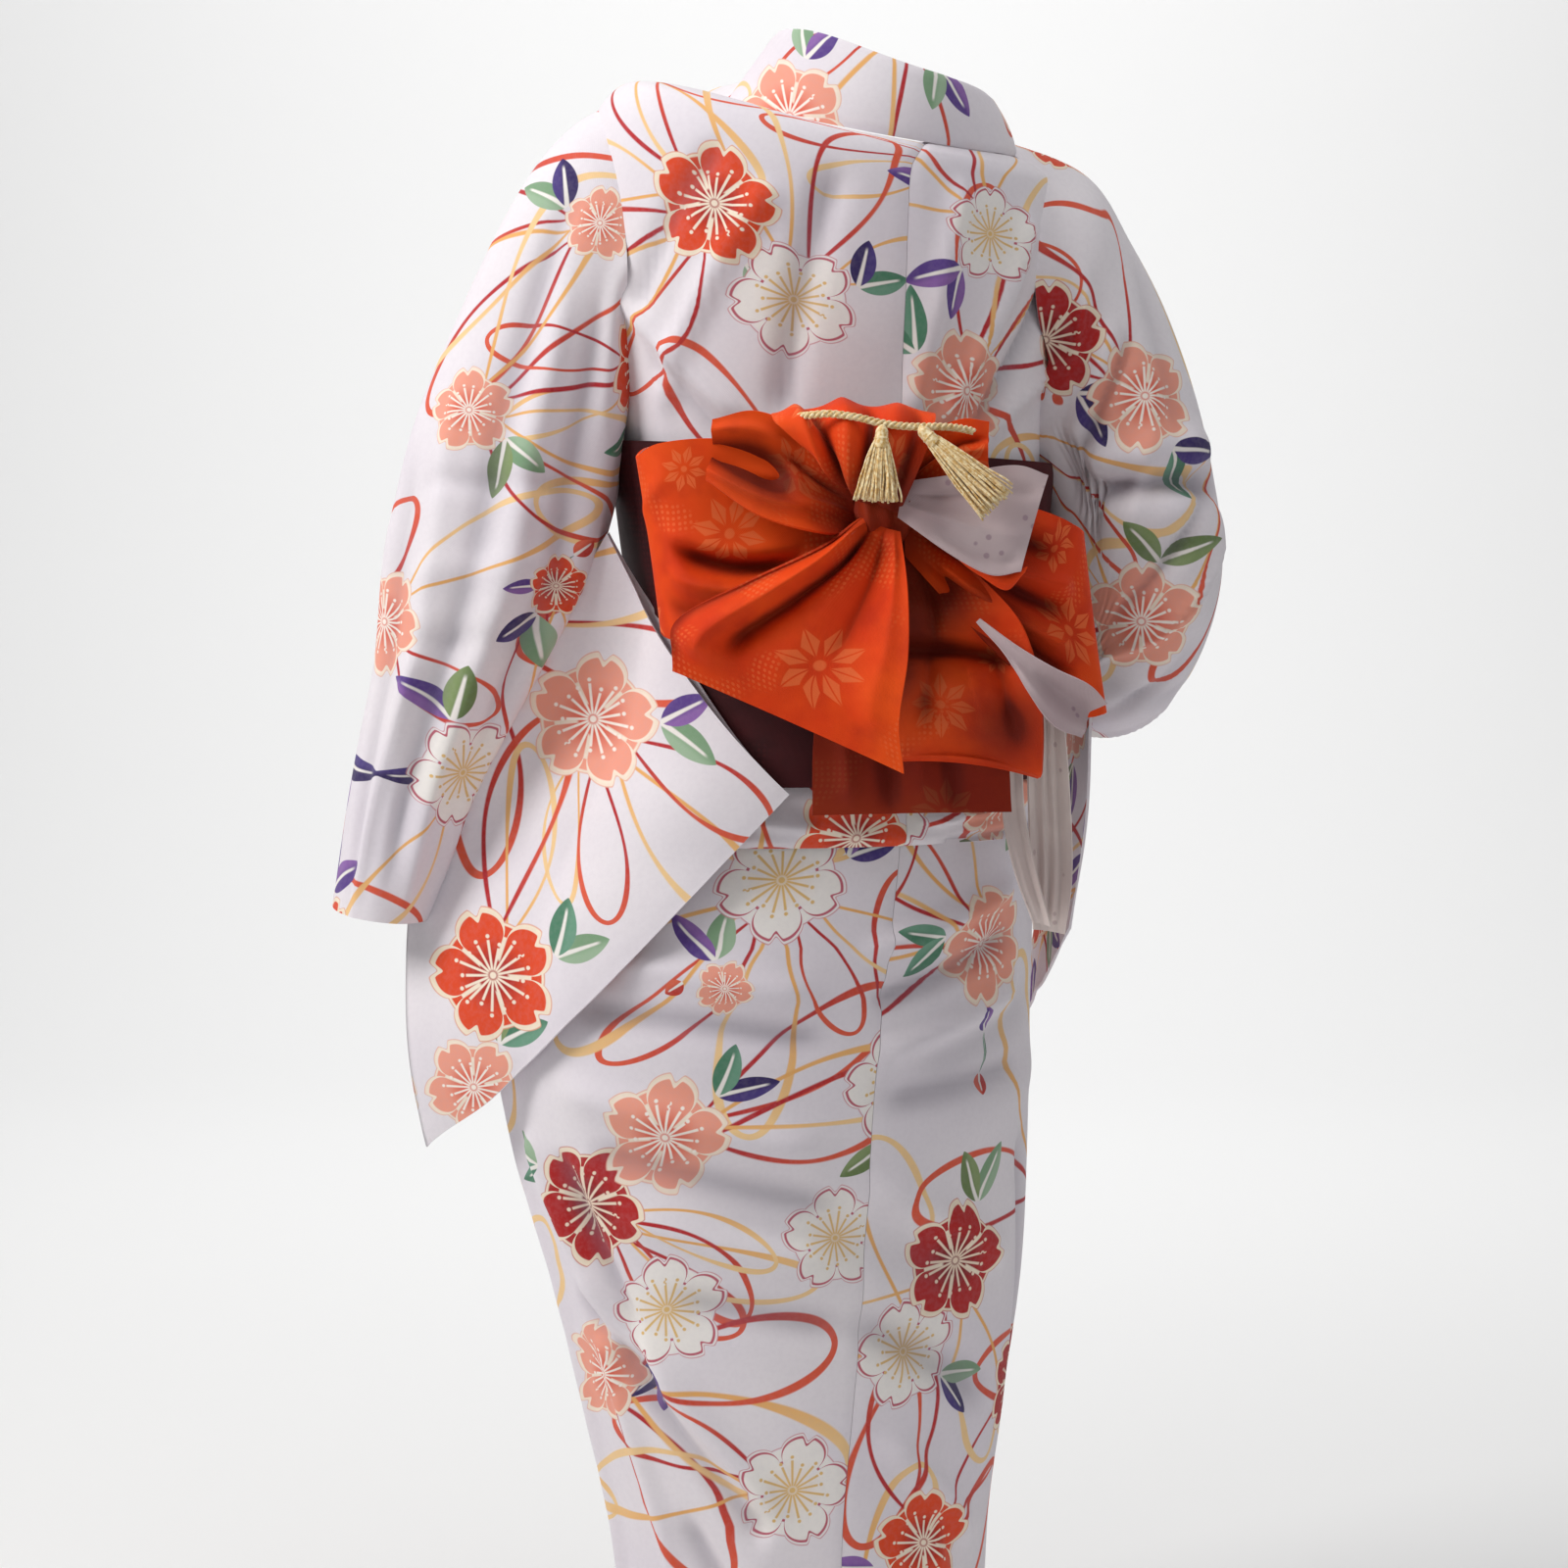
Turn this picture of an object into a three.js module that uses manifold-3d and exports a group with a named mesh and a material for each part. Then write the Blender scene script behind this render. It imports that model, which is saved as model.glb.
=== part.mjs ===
// A kimono as it stands when worn, hollow and with no wearer: left front over right, a fold of spare
// length at the waist, a two-turn obi and its bow behind. Millimetres, +Z up, the front faces -Y.
// The origin is the middle of the neck seam, where the shoulders hold the garment up.
import * as THREE from 'three';
import { mergeVertices } from 'three/addons/utils/BufferGeometryUtils.js';
import Module from 'manifold-3d';

const wasm = await Module();
wasm.setup();

// Driving sizes
const poseTurn = 18; // degrees the pose's own axes stand turned to the garment
const cloth = 1.6; // wall of one layer of cotton, with its seam allowances
const obiCloth = 2.2; // wall of the doubled obi
const seamGap = 0.3; // between two pieces sewn to each other
const hem = -1200; // lowest edge of the skirt
const skirtTop = -400; // the skirt's upper edge, out of sight under the obi
const foldEdge = -522; // lower edge of the waist fold
const bodiceOut = 8; // the bodice lies outside the skirt by this much
const overlapOut = 4.4; // the left overlap lies outside the right one
const obiOut = 14.2; // inner face of the obi's first turn
const obiStep = 3; // from one turn of the obi to the next
const obiWidth = 165;

const toRad = Math.PI / 180;
const lerp = THREE.MathUtils.lerp;
const smooth = THREE.MathUtils.smoothstep;

// Places in the pose's axes: side grows to the wearer's left, back grows behind, z up.
function place(side, back, z) {
  const c = Math.cos(poseTurn * toRad);
  const s = Math.sin(poseTurn * toRad);
  return new THREE.Vector3(side * c + back * s, back * c - side * s, z);
}

// Smooth curve through one column of a table whose rows are sorted by the key column.
function read(rows, key, column, at) {
  const rising = rows[rows.length - 1][key] > rows[0][key] ? 1 : -1;
  let i = 0;
  while (i < rows.length - 2 && (at - rows[i + 1][key]) * rising > 0) i += 1;
  const span = rows[i + 1][key] - rows[i][key];
  const t = THREE.MathUtils.clamp((at - rows[i][key]) / span, 0, 1);
  const p1 = rows[i][column];
  const p2 = rows[i + 1][column];
  const before = rows[Math.max(i - 1, 0)];
  const after = rows[Math.min(i + 2, rows.length - 1)];
  const m1 = ((p2 - before[column]) / (rows[i + 1][key] - before[key])) * span;
  const m2 = ((after[column] - p1) / (after[key] - rows[i][key])) * span;
  const t2 = t * t;
  const t3 = t2 * t;
  const rise = 3 * t2 - 2 * t3;
  return (1 - rise) * p1 + (t3 - 2 * t2 + t) * m1 + rise * p2 + (t3 - t2) * m2;
}

// Rings round the body, top to hem. side places the centre, wide, rear and fore are half
// sizes, turn twists the ring, seam is where the back seam lies on it, lean lifts its left side, rise
// lifts both shoulders and crown tells how far thickness goes upwards there.
const rings = [
  { z: -6, side: 2, wide: 106, rear: 86, fore: 84, turn: 16, seam: -7, lean: 8, rise: 10, crown: 0.9 },
  { z: -10, side: 12, wide: 136, rear: 97, fore: 90, turn: 16, seam: -7, lean: 11, rise: 19, crown: 0.9 },
  { z: -20, side: 24, wide: 164, rear: 105, fore: 98, turn: 16, seam: -7, lean: 11, rise: 27, crown: 0.7 },
  { z: -48, side: 33, wide: 180, rear: 111, fore: 105, turn: 16, seam: -8, lean: 10, rise: 18, crown: 0.3 },
  { z: -110, side: 36, wide: 180, rear: 114, fore: 113, turn: 16, seam: -8, lean: 7, rise: 0, crown: 0 },
  { z: -200, side: 34, wide: 162, rear: 112, fore: 119, turn: 16, seam: -7, lean: 4, rise: 0, crown: 0 },
  { z: -280, side: 29, wide: 150, rear: 111, fore: 114, turn: 16, seam: -6, lean: 1, rise: 0, crown: 0 },
  { z: -360, side: 26, wide: 146, rear: 113, fore: 109, turn: 16, seam: -6, lean: 0, rise: 0, crown: 0 },
  { z: -440, side: 32, wide: 154, rear: 121, fore: 111, turn: 17, seam: -7, lean: 0, rise: 0, crown: 0 },
  { z: -520, side: 52, wide: 182, rear: 137, fore: 122, turn: 19, seam: -9, lean: 0, rise: 0, crown: 0 },
  { z: -600, side: 72, wide: 204, rear: 149, fore: 130, turn: 21, seam: -9, lean: 0, rise: 0, crown: 0 },
  { z: -680, side: 80, wide: 211, rear: 150, fore: 134, turn: 21, seam: -8.5, lean: 0, rise: 0, crown: 0 },
  { z: -760, side: 74, wide: 203, rear: 144, fore: 132, turn: 20, seam: -6.5, lean: 0, rise: 0, crown: 0 },
  { z: -863, side: 62, wide: 185, rear: 130, fore: 126, turn: 18, seam: -4.5, lean: 0, rise: 0, crown: 0 },
  { z: -960, side: 57, wide: 167, rear: 119, fore: 118, turn: 17, seam: -2, lean: 0, rise: 0, crown: 0 },
  { z: -1060, side: 54, wide: 149, rear: 109, fore: 112, turn: 16, seam: 0, lean: 0, rise: 0, crown: 0 },
  { z: -1200, side: 50, wide: 140, rear: 106, fore: 108, turn: 15, seam: 0, lean: 0, rise: 0, crown: 0 },
];

// Folds pressed into the skirt: each runs from one angle and height to another, a trough if deep < 0.
const skirtFolds = [
  { angle: 52, z: -905, toAngle: 6, toZ: -1190, deep: 6, wide: 34 },
  { angle: 30, z: -800, toAngle: -30, toZ: -850, deep: -3, wide: 30 },
  { angle: -20, z: -690, toAngle: -62, toZ: -650, deep: -4, wide: 24 },
  { angle: -30, z: -745, toAngle: -70, toZ: -700, deep: 4, wide: 26 },
  { angle: 160, z: -560, toAngle: 195, toZ: -1150, deep: 5, wide: 40 },
  { angle: 130, z: -620, toAngle: 172, toZ: -1100, deep: -4, wide: 36 },
];

// How far the folds move the cloth out at one place of the skirt.
function foldOut(angle, z) {
  let out = 0;
  for (const fold of skirtFolds) {
    const arc = 2.9; // millimetres of cloth in one degree round the skirt
    const runX = (fold.toAngle - fold.angle) * arc;
    const runZ = fold.toZ - fold.z;
    const x = (angle - fold.angle) * arc;
    const y = z - fold.z;
    const length = Math.hypot(runX, runZ);
    const along = (x * runX + y * runZ) / length;
    const across = (x * runZ - y * runX) / length / fold.wide;
    const fadeOut = 1 - smooth(along, length - fold.wide, length + fold.wide);
    const fade = smooth(along, -fold.wide, fold.wide) * fadeOut;
    out += fold.deep * Math.exp(-across * across * 2) * fade;
  }
  return out;
}

// A place round the body in the pose's axes: angle in degrees from straight behind, growing to the left.
function bodyPlace(z, angle, out) {
  const ring = (column) => read(rings, 'z', column, z);
  const s = Math.sin(angle * toRad);
  const c = Math.cos(angle * toRad);
  const depth = c > 0 ? ring('rear') : ring('fore');
  const across = (ring('wide') + out) * s;
  const along = (depth + out) * c;
  const turn = ring('turn') * toRad;
  const side = ring('side') + across * Math.cos(turn) - along * Math.sin(turn);
  const back = across * Math.sin(turn) + along * Math.cos(turn);
  const height = z + ring('rise') * s * s + across * Math.tan(ring('lean') * toRad) + out * ring('crown');
  return { side, back, z: height };
}

function bodyPoint(z, angle, out) {
  const spot = bodyPlace(z, angle, out);
  return place(spot.side, spot.back, spot.z);
}

// A closed wall between an outer and an inner grid of points. skip(i, j) leaves cells out.
function wall(outer, inner, { closed = false, skip = () => false } = {}) {
  const rows = outer.length;
  const columns = outer[0].length;
  const cells = closed ? columns : columns - 1;
  const positions = [...outer, ...inner].flat().flatMap((p) => [p.x, p.y, p.z]);
  const at = (layer, i, j) => (layer * rows + i) * columns + (j % columns);
  const has = (i, j) => {
    const column = closed ? (j + cells) % cells : j;
    return i >= 0 && i < rows - 1 && column >= 0 && column < cells && !skip(i, column);
  };
  const index = [];
  const quad = (a, b, c, d) => index.push(a, b, c, a, c, d);
  for (let i = 0; i < rows - 1; i += 1) {
    for (let j = 0; j < cells; j += 1) {
      if (!has(i, j)) continue;
      quad(at(0, i, j), at(0, i, j + 1), at(0, i + 1, j + 1), at(0, i + 1, j));
      quad(at(1, i, j), at(1, i + 1, j), at(1, i + 1, j + 1), at(1, i, j + 1));
      if (!has(i - 1, j)) quad(at(0, i, j), at(1, i, j), at(1, i, j + 1), at(0, i, j + 1));
      if (!has(i + 1, j)) quad(at(0, i + 1, j + 1), at(1, i + 1, j + 1), at(1, i + 1, j), at(0, i + 1, j));
      if (!has(i, j - 1)) quad(at(0, i + 1, j), at(1, i + 1, j), at(1, i, j), at(0, i, j));
      if (!has(i, j + 1)) quad(at(0, i, j + 1), at(1, i, j + 1), at(1, i + 1, j + 1), at(0, i + 1, j + 1));
    }
  }
  return facingOut(positions, index);
}

// The same faces, turned round if they enclose a negative volume.
function facingOut(positions, index) {
  const corner = (k) => new THREE.Vector3().fromArray(positions, index[k] * 3);
  let volume = 0;
  for (let k = 0; k < index.length; k += 3) volume += corner(k).dot(corner(k + 1).cross(corner(k + 2)));
  const geometry = new THREE.BufferGeometry();
  geometry.setAttribute('position', new THREE.Float32BufferAttribute(positions, 3));
  geometry.setIndex(volume < 0 ? index.reverse() : index);
  return geometry;
}

// A closed solid through loops of equally many points, with a fan on each end.
function loft(loops) {
  const count = loops[0].length;
  const middles = [loops[0], loops[loops.length - 1]].map((loop) =>
    loop.reduce((sum, p) => sum.add(p), new THREE.Vector3()).divideScalar(count),
  );
  const positions = [...loops.flat(), ...middles].flatMap((p) => [p.x, p.y, p.z]);
  const index = [];
  for (let i = 0; i < loops.length - 1; i += 1) {
    for (let j = 0; j < count; j += 1) {
      const next = (j + 1) % count;
      const a = i * count + j;
      const b = i * count + next;
      index.push(a, b, b + count, a, b + count, a + count);
    }
  }
  const first = loops.length * count;
  const last = (loops.length - 1) * count;
  for (let j = 0; j < count; j += 1) {
    const next = (j + 1) % count;
    index.push(first, next, j);
    index.push(first + 1, last + j, last + next);
  }
  return facingOut(positions, index);
}

function toSolid(geometry) {
  const bare = geometry.clone();
  bare.deleteAttribute('normal');
  bare.deleteAttribute('uv');
  const merged = mergeVertices(bare, 1e-4);
  const solid = new wasm.Manifold(
    new wasm.Mesh({
      numProp: 3,
      vertProperties: new Float32Array(merged.attributes.position.array),
      triVerts: new Uint32Array(merged.index.array),
    }),
  );
  return solid;
}

// The largest body of a solid as a geometry.
function toGeometry(solid) {
  const bodies = solid.decompose().sort((a, b) => b.volume() - a.volume());
  const mesh = bodies[0].getMesh();
  const geometry = new THREE.BufferGeometry();
  geometry.setAttribute('position', new THREE.BufferAttribute(mesh.vertProperties, 3));
  geometry.setIndex(new THREE.BufferAttribute(mesh.triVerts, 1));
  return geometry;
}

const kimono = new THREE.Group();

function add(name, geometry, colour, roughness) {
  const finish = { color: colour, roughness, metalness: 0, side: THREE.DoubleSide };
  const material = new THREE.MeshStandardMaterial(finish);
  const mesh = new THREE.Mesh(geometry, material);
  mesh.name = name;
  kimono.add(mesh);
  return mesh;
}

const steps = (from, to, count) => Array.from({ length: count + 1 }, (_, i) => lerp(from, to, i / count));

// Colours
const printed = 0xe3dbe2;
const obiOrange = 0xdd4a1f;
const obiDark = 0x3a1418;
const paleReverse = 0xc6b0b2;
const cordYellow = 0xecd28a;

// Skirt: panels round the legs, each between two seams whose angles go from skirt top to hem.
const skirtRows = [skirtTop, -440, -480, -510, -540, -575, ...steps(-625, hem, 9)];
const backSeam = (z) => read(rings, 'z', 'seam', z);
const skirtPanels = [
  { name: 'skirt_back_left', from: backSeam, to: () => 97, columns: 10, out: 0 },
  { name: 'skirt_back_right', from: () => -97, to: backSeam, columns: 9, out: 0 },
  { name: 'skirt_front_left', from: () => 97, to: () => 150, columns: 5, out: 0 },
  { name: 'skirt_front_right', from: () => -150, to: () => -97, columns: 5, out: 0 },
  { name: 'overlap_right', from: () => -206, to: () => -150, columns: 6, out: -overlapOut },
  { name: 'overlap_left', from: () => 150, to: () => 222, columns: 7, out: overlapOut },
];

// The right front passes under the left one: out is eased so that each crossing keeps its gap.
function skirtOut(panel, angle) {
  if (panel.out === 0) return 0;
  const start = panel.out > 0 ? 150 : -150;
  const run = panel.out > 0 ? angle - start : start - angle;
  return panel.out * smooth(run, 0, 14);
}

function skirtPanel(panel) {
  const gapAngle = (seamGap / 2 / 170) / toRad;
  const grid = (inward) =>
    skirtRows.map((z) =>
      steps(panel.from(z) + gapAngle, panel.to(z) - gapAngle, panel.columns).map((angle) =>
        bodyPoint(z, angle, skirtOut(panel, angle) + foldOut(angle < -120 ? angle + 360 : angle, z) - inward),
      ),
    );
  return wall(grid(0), grid(cloth));
}

for (const panel of skirtPanels) add(panel.name, skirtPanel(panel), printed, 0.85);

// Bodice: from the back seam over the shoulder to the front edge, one wall each, open at the armhole.
// armBack and armFront are the armhole's two sides, edge is the front edge under the collar.
const bodiceSides = {
  left: [
    { z: -6, armBack: 56, armFront: 86, edge: 104 },
    { z: -10, armBack: 62, armFront: 92, edge: 128 },
    { z: -20, armBack: 70, armFront: 98, edge: 140 },
    { z: -48, armBack: 80, armFront: 104, edge: 151 },
    { z: -110, armBack: 69, armFront: 112, edge: 166 },
    { z: -200, armBack: 66, armFront: 116, edge: 190 },
    { z: -280, armBack: 66, armFront: 116, edge: 204 },
    { z: -522, armBack: 66, armFront: 116, edge: 222 },
  ],
  right: [
    { z: -6, armBack: -50, armFront: -78, edge: -104 },
    { z: -10, armBack: -54, armFront: -90, edge: -128 },
    { z: -20, armBack: -60, armFront: -98, edge: -140 },
    { z: -48, armBack: -76, armFront: -104, edge: -151 },
    { z: -110, armBack: -62, armFront: -112, edge: -166 },
    { z: -200, armBack: -60, armFront: -114, edge: -188 },
    { z: -280, armBack: -56, armFront: -116, edge: -200 },
    { z: -522, armBack: -56, armFront: -116, edge: -206 },
  ],
};
const armTop = -58;
const armBottom = -186;
const shoulderRows = [-6, -10, -14, -20, -36];
const waistRows = [-240, -300, -360, -420, -465, -495, -512, foldEdge];
const bodiceRows = [...shoulderRows, armTop, -90, -130, armBottom, ...waistRows];

// The bodice's outer face; the left front rides over the right one past the middle of the front.
function bodiceOutAt(side, angle) {
  return bodiceOut + (side === 'left' ? overlapOut * smooth(angle, 128, 150) : 0);
}

function bodice(side) {
  const table = bodiceSides[side];
  const sign = side === 'left' ? 1 : -1;
  const gapAngle = (sign * (seamGap / 2 / 160)) / toRad;
  const parts = [6, 4, 8];
  const angles = (z) => {
    const edges = ['armBack', 'armFront', 'edge'].map((name) => read(table, 'z', name, z));
    const stops = [backSeam(z) + gapAngle, ...edges];
    return parts.flatMap((count, i) => steps(stops[i], stops[i + 1], count).slice(i ? 1 : 0));
  };
  // the cloth is doubled where the spare length turns up at the waist fold
  const thick = (z) => cloth + 1.2 * smooth(-z, 480, 512);
  const grid = (inward) =>
    bodiceRows.map((z) =>
      angles(z).map((angle) => bodyPoint(z, angle, bodiceOutAt(side, angle * sign) - inward(z))),
    );
  const atArm = (z) => z <= armTop && z > armBottom;
  const skip = (i, j) => atArm(bodiceRows[i]) && j >= parts[0] && j < parts[0] + parts[1];
  return wall(grid(() => 0), grid(thick), { skip });
}

add('bodice_left', bodice('left'), printed, 0.85);
add('bodice_right', bodice('right'), printed, 0.85);

// Obi: two turns of one sash, the upper turn over the lower one.
const obiTurns = [
  { name: 'obi_turn_lower', bottom: -477, out: obiOut },
  { name: 'obi_turn_upper', bottom: -477 + obiWidth / 2, out: obiOut + obiStep },
];

// One turn as a wall, grown all round by a gap where it cuts its neighbours.
function obiTurn(turn, grow) {
  const heights = steps(turn.bottom, turn.bottom + obiWidth, 2);
  const around = steps(0, 360, 36).slice(0, -1);
  const grid = (out) =>
    heights.map((z, i) =>
      around.map((angle) => bodyPoint(z + (i - 1) * grow, angle > 180 ? angle - 360 : angle, out)),
    );
  return wall(grid(turn.out + obiCloth + grow), grid(turn.out - grow), { closed: true });
}

for (const turn of obiTurns) add(turn.name, obiTurn(turn, 0), obiDark, 0.5);

// The space the dressed body fills, grown by a seam's gap: sleeves and bow are trimmed to it.
const dressedOut = [
  { z: -6, out: bodiceOut },
  { z: -214, out: bodiceOut },
  { z: -222, out: obiOut + obiStep + obiCloth },
  { z: -392, out: obiOut + obiStep + obiCloth },
  { z: -398, out: obiOut + obiCloth },
  { z: -480, out: obiOut + obiCloth },
  { z: -484, out: bodiceOut },
  { z: -526, out: bodiceOut },
  { z: -532, out: 0 },
  { z: hem, out: 0 },
];

function dressedAt(z, angle = 0) {
  let i = 0;
  while (i < dressedOut.length - 2 && z < dressedOut[i + 1].z) i += 1;
  const [a, b] = [dressedOut[i], dressedOut[i + 1]];
  const out = lerp(a.out, b.out, THREE.MathUtils.clamp((z - a.z) / (b.z - a.z), 0, 1));
  const front = angle > 125 || angle < -136 ? overlapOut : 0;
  const fold = z < -530 ? Math.max(foldOut(angle < -120 ? angle + 360 : angle, z), 0) : 0;
  return out + front + fold + seamGap + 0.3;
}

const allHeights = [...bodiceRows, ...dressedOut.map((row) => row.z), ...skirtRows];
const dressedHeights = [...new Set(allHeights)].sort((a, b) => b - a);
let dressedBody = toSolid(
  loft(
    dressedHeights.map((z) =>
      steps(-180, 180, 60)
        .slice(0, -1)
        .map((angle) => bodyPoint(z, angle, dressedAt(z, angle))),
    ),
  ),
);
for (const turn of obiTurns) dressedBody = dressedBody.add(toSolid(obiTurn(turn, seamGap + 0.1)));

// Collar: one doubled band from the left front's waist, round the nape, down the right front.
// along is its share of the way, angle and z place its seam on the bodice, out lifts it off, stand is how
// far it stands up, wide is its breadth and inward how far its free edge leans to the neck.
const neck = -6;
const collarRows = [
  { along: 0, angle: 214, z: -400, stand: 0, out: 18, wide: 52, inward: 0 },
  { along: 0.12, angle: 202, z: -280, stand: 0, out: 18, wide: 56, inward: 0 },
  { along: 0.22, angle: 188, z: -200, stand: 0, out: 18, wide: 56, inward: 0 },
  { along: 0.33, angle: 164, z: -105, stand: 0, out: 18, wide: 54, inward: 0 },
  { along: 0.4, angle: 149, z: -38, stand: 0.1, out: 16, wide: 48, inward: 4 },
  { along: 0.44, angle: 126, z: -9, stand: 0.5, out: 11, wide: 48, inward: 20 },
  { along: 0.475, angle: 96, z: neck, stand: 0.9, out: 9, wide: 54, inward: 34 },
  { along: 0.53, angle: 40, z: neck, stand: 1, out: 9, wide: 64, inward: 22 },
  { along: 0.6, angle: -10, z: neck, stand: 1, out: 9, wide: 72, inward: 4 },
  { along: 0.66, angle: -60, z: neck, stand: 1, out: 9, wide: 66, inward: 18 },
  { along: 0.72, angle: -98, z: neck, stand: 0.9, out: 9, wide: 54, inward: 30 },
  { along: 0.75, angle: -126, z: -9, stand: 0.5, out: 11, wide: 48, inward: 16 },
  { along: 0.79, angle: -149, z: -38, stand: 0.1, out: 15, wide: 48, inward: 4 },
  { along: 0.85, angle: -163, z: -105, stand: 0, out: 14, wide: 46, inward: 0 },
  { along: 0.92, angle: -176, z: -160, stand: 0, out: 14, wide: 34, inward: 0 },
  { along: 1, angle: -184, z: -195, stand: 0, out: 14, wide: 18, inward: 0 },
];
const collarWall = 3;

function collar(grow) {
  const rowAt = (along) => (column) => read(collarRows, 'along', column, along);
  const up = new THREE.Vector3(0, 0, 1);
  const outside = [];
  const inside = [];
  for (const along of steps(0, 1, 36)) {
    const row = rowAt(along);
    const seamPoint = bodyPoint(row('z'), row('angle'), row('out'));
    const outward = bodyPoint(row('z'), row('angle'), row('out') + 4).sub(seamPoint);
    const ahead = rowAt(Math.min(along + 0.01, 1));
    const behind = rowAt(Math.max(along - 0.01, 0));
    const next = bodyPoint(ahead('z'), ahead('angle'), row('out'));
    const way = next.sub(bodyPoint(behind('z'), behind('angle'), row('out'))).normalize();
    const flat = outward.clone().cross(way).normalize();
    if (flat.z < 0) flat.negate();
    const rise = flat.lerp(up, row('stand')).normalize();
    const face = way.clone().cross(rise).normalize();
    if (face.dot(seamPoint.clone().setZ(0)) < 0) face.negate();
    const edge = grow / row('wide');
    const across = steps(-edge, 1 + edge, 2).map((share) => {
      const p = seamPoint.clone().addScaledVector(rise, share * row('wide'));
      return p.addScaledVector(face, 3 * Math.sin(Math.PI * share) * row('stand') - row('inward') * share);
    });
    outside.push(across.map((p) => p.clone().addScaledVector(face, grow)));
    inside.push(across.map((p) => p.clone().addScaledVector(face, -collarWall - grow)));
  }
  return wall(outside, inside);
}

// Trims a piece by solids grown by the gap that pieces keep.
function trimmed(geometry, ...cutters) {
  return toGeometry(cutters.reduce((solid, cutter) => solid.subtract(cutter), toSolid(geometry)));
}

add('collar', trimmed(collar(0), dressedBody), printed, 0.85);
const collarSpace = toSolid(collar(seamGap));

// Sleeves: an arm part, with sections along the arm, and a bag that hangs from it.
// tip is the slope of a section's long way, across and deep are its half sizes.
const sleeves = {
  left: {
    arm: [
      { side: 158, back: 36, z: -72, tip: 90, across: 106, deep: 56 },
      { side: 188, back: 41, z: -68, tip: 80, across: 98, deep: 56 },
      { side: 211, back: 45, z: -84, tip: 64, across: 84, deep: 56 },
      { side: 237, back: 50, z: -158, tip: 38, across: 72, deep: 56 },
      { side: 264, back: 58, z: -240, tip: 22, across: 75, deep: 56 },
      { side: 284, back: 64, z: -310, tip: 18, across: 72, deep: 55 },
      { side: 316, back: 64, z: -390, tip: 18, across: 60, deep: 52 },
      { side: 350, back: 58, z: -480, tip: 17, across: 46, deep: 48 },
      { side: 375, back: 50, z: -578, tip: 8, across: 37, deep: 46 },
    ],
    bag: {
      innerTop: [200, 82, -290],
      outerTop: [352, 54, -560],
      innerBottom: [64, 0, -481],
      outerBottom: [338, 0, -768],
    },
  },
  right: {
    arm: [
      { side: -98, back: -18, z: -88, tip: 90, across: 98, deep: 60 },
      { side: -136, back: -26, z: -102, tip: 108, across: 90, deep: 62 },
      { side: -152, back: -32, z: -138, tip: 124, across: 85, deep: 61 },
      { side: -173, back: -36, z: -182, tip: 142, across: 77, deep: 60 },
      { side: -203, back: -40, z: -245, tip: 160, across: 62, deep: 59 },
      { side: -215, back: -46, z: -320, tip: 176, across: 59, deep: 60 },
      { side: -207, back: -80, z: -378, tip: 190, across: 52, deep: 60 },
      { side: -186, back: -140, z: -402, tip: 185, across: 48, deep: 54 },
      { side: -162, back: -200, z: -396, tip: 180, across: 44, deep: 50 },
    ],
    bag: {
      innerTop: [-172, -52, -385],
      outerTop: [-162, -190, -395],
      innerBottom: [-156, -34, -600],
      outerBottom: [-122, -170, -700],
    },
  },
};

// The depth of the dressed body behind a side place, falling off past its outline: the far side of a
// turned ellipse, left along its tangent where it would drop away.
function bodyBack(side, z) {
  const ring = (column) => read(rings, 'z', column, z);
  const out = dressedAt(z) + (z < -530 ? 2 : 0);
  const wide = (ring('wide') + out) ** -2;
  const deep = (ring('rear') + out) ** -2;
  const s = Math.sin(ring('turn') * toRad);
  const c = Math.cos(ring('turn') * toRad);
  const a = c * c * wide + s * s * deep;
  const b = s * c * (wide - deep);
  const d = s * s * wide + c * c * deep;
  const depthAt = (x) => (Math.sqrt(b * b * x * x - d * (a * x * x - 1)) - b * x) / d;
  const most = 0.88 * Math.sqrt(d / (a * d - b * b));
  const x = side - ring('side');
  return depthAt(Math.min(x, most)) - Math.max(x - most, 0) * 0.6;
}

const bagHalf = 7; // half the bag's thickness at its fullest
const bagRest = 11; // from the hip to the middle of the bag

// A place in the middle of a bag: along from the open inner edge to the outer one, down from the arm.
function bagPlace(which, along, down) {
  const { innerTop, outerTop, innerBottom, outerBottom } = sleeves[which].bag;
  const edge = (from, to, k) => lerp(from[k], to[k], along);
  const mix = (k) => lerp(edge(innerTop, outerTop, k), edge(innerBottom, outerBottom, k), down);
  const corner = smooth(along, 0.8, 1) * smooth(down, 0.8, 1);
  const bend = 4 * down * (1 - down);
  if (which === 'right') return place(mix(0) - 6 * bend, mix(1) + 14 * corner, mix(2) + 12 * corner);
  const side = mix(0) + 10 * bend * along * along + 3 * corner;
  const z = mix(2) - 18 * bend * (1 - along) ** 2 + 10 * corner;
  const top = lerp(innerTop[1], outerTop[1], along);
  const rest = bodyBack(side, z) + bagRest;
  return place(side, lerp(top, rest, smooth(down, 0, 0.4)), z);
}

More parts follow.
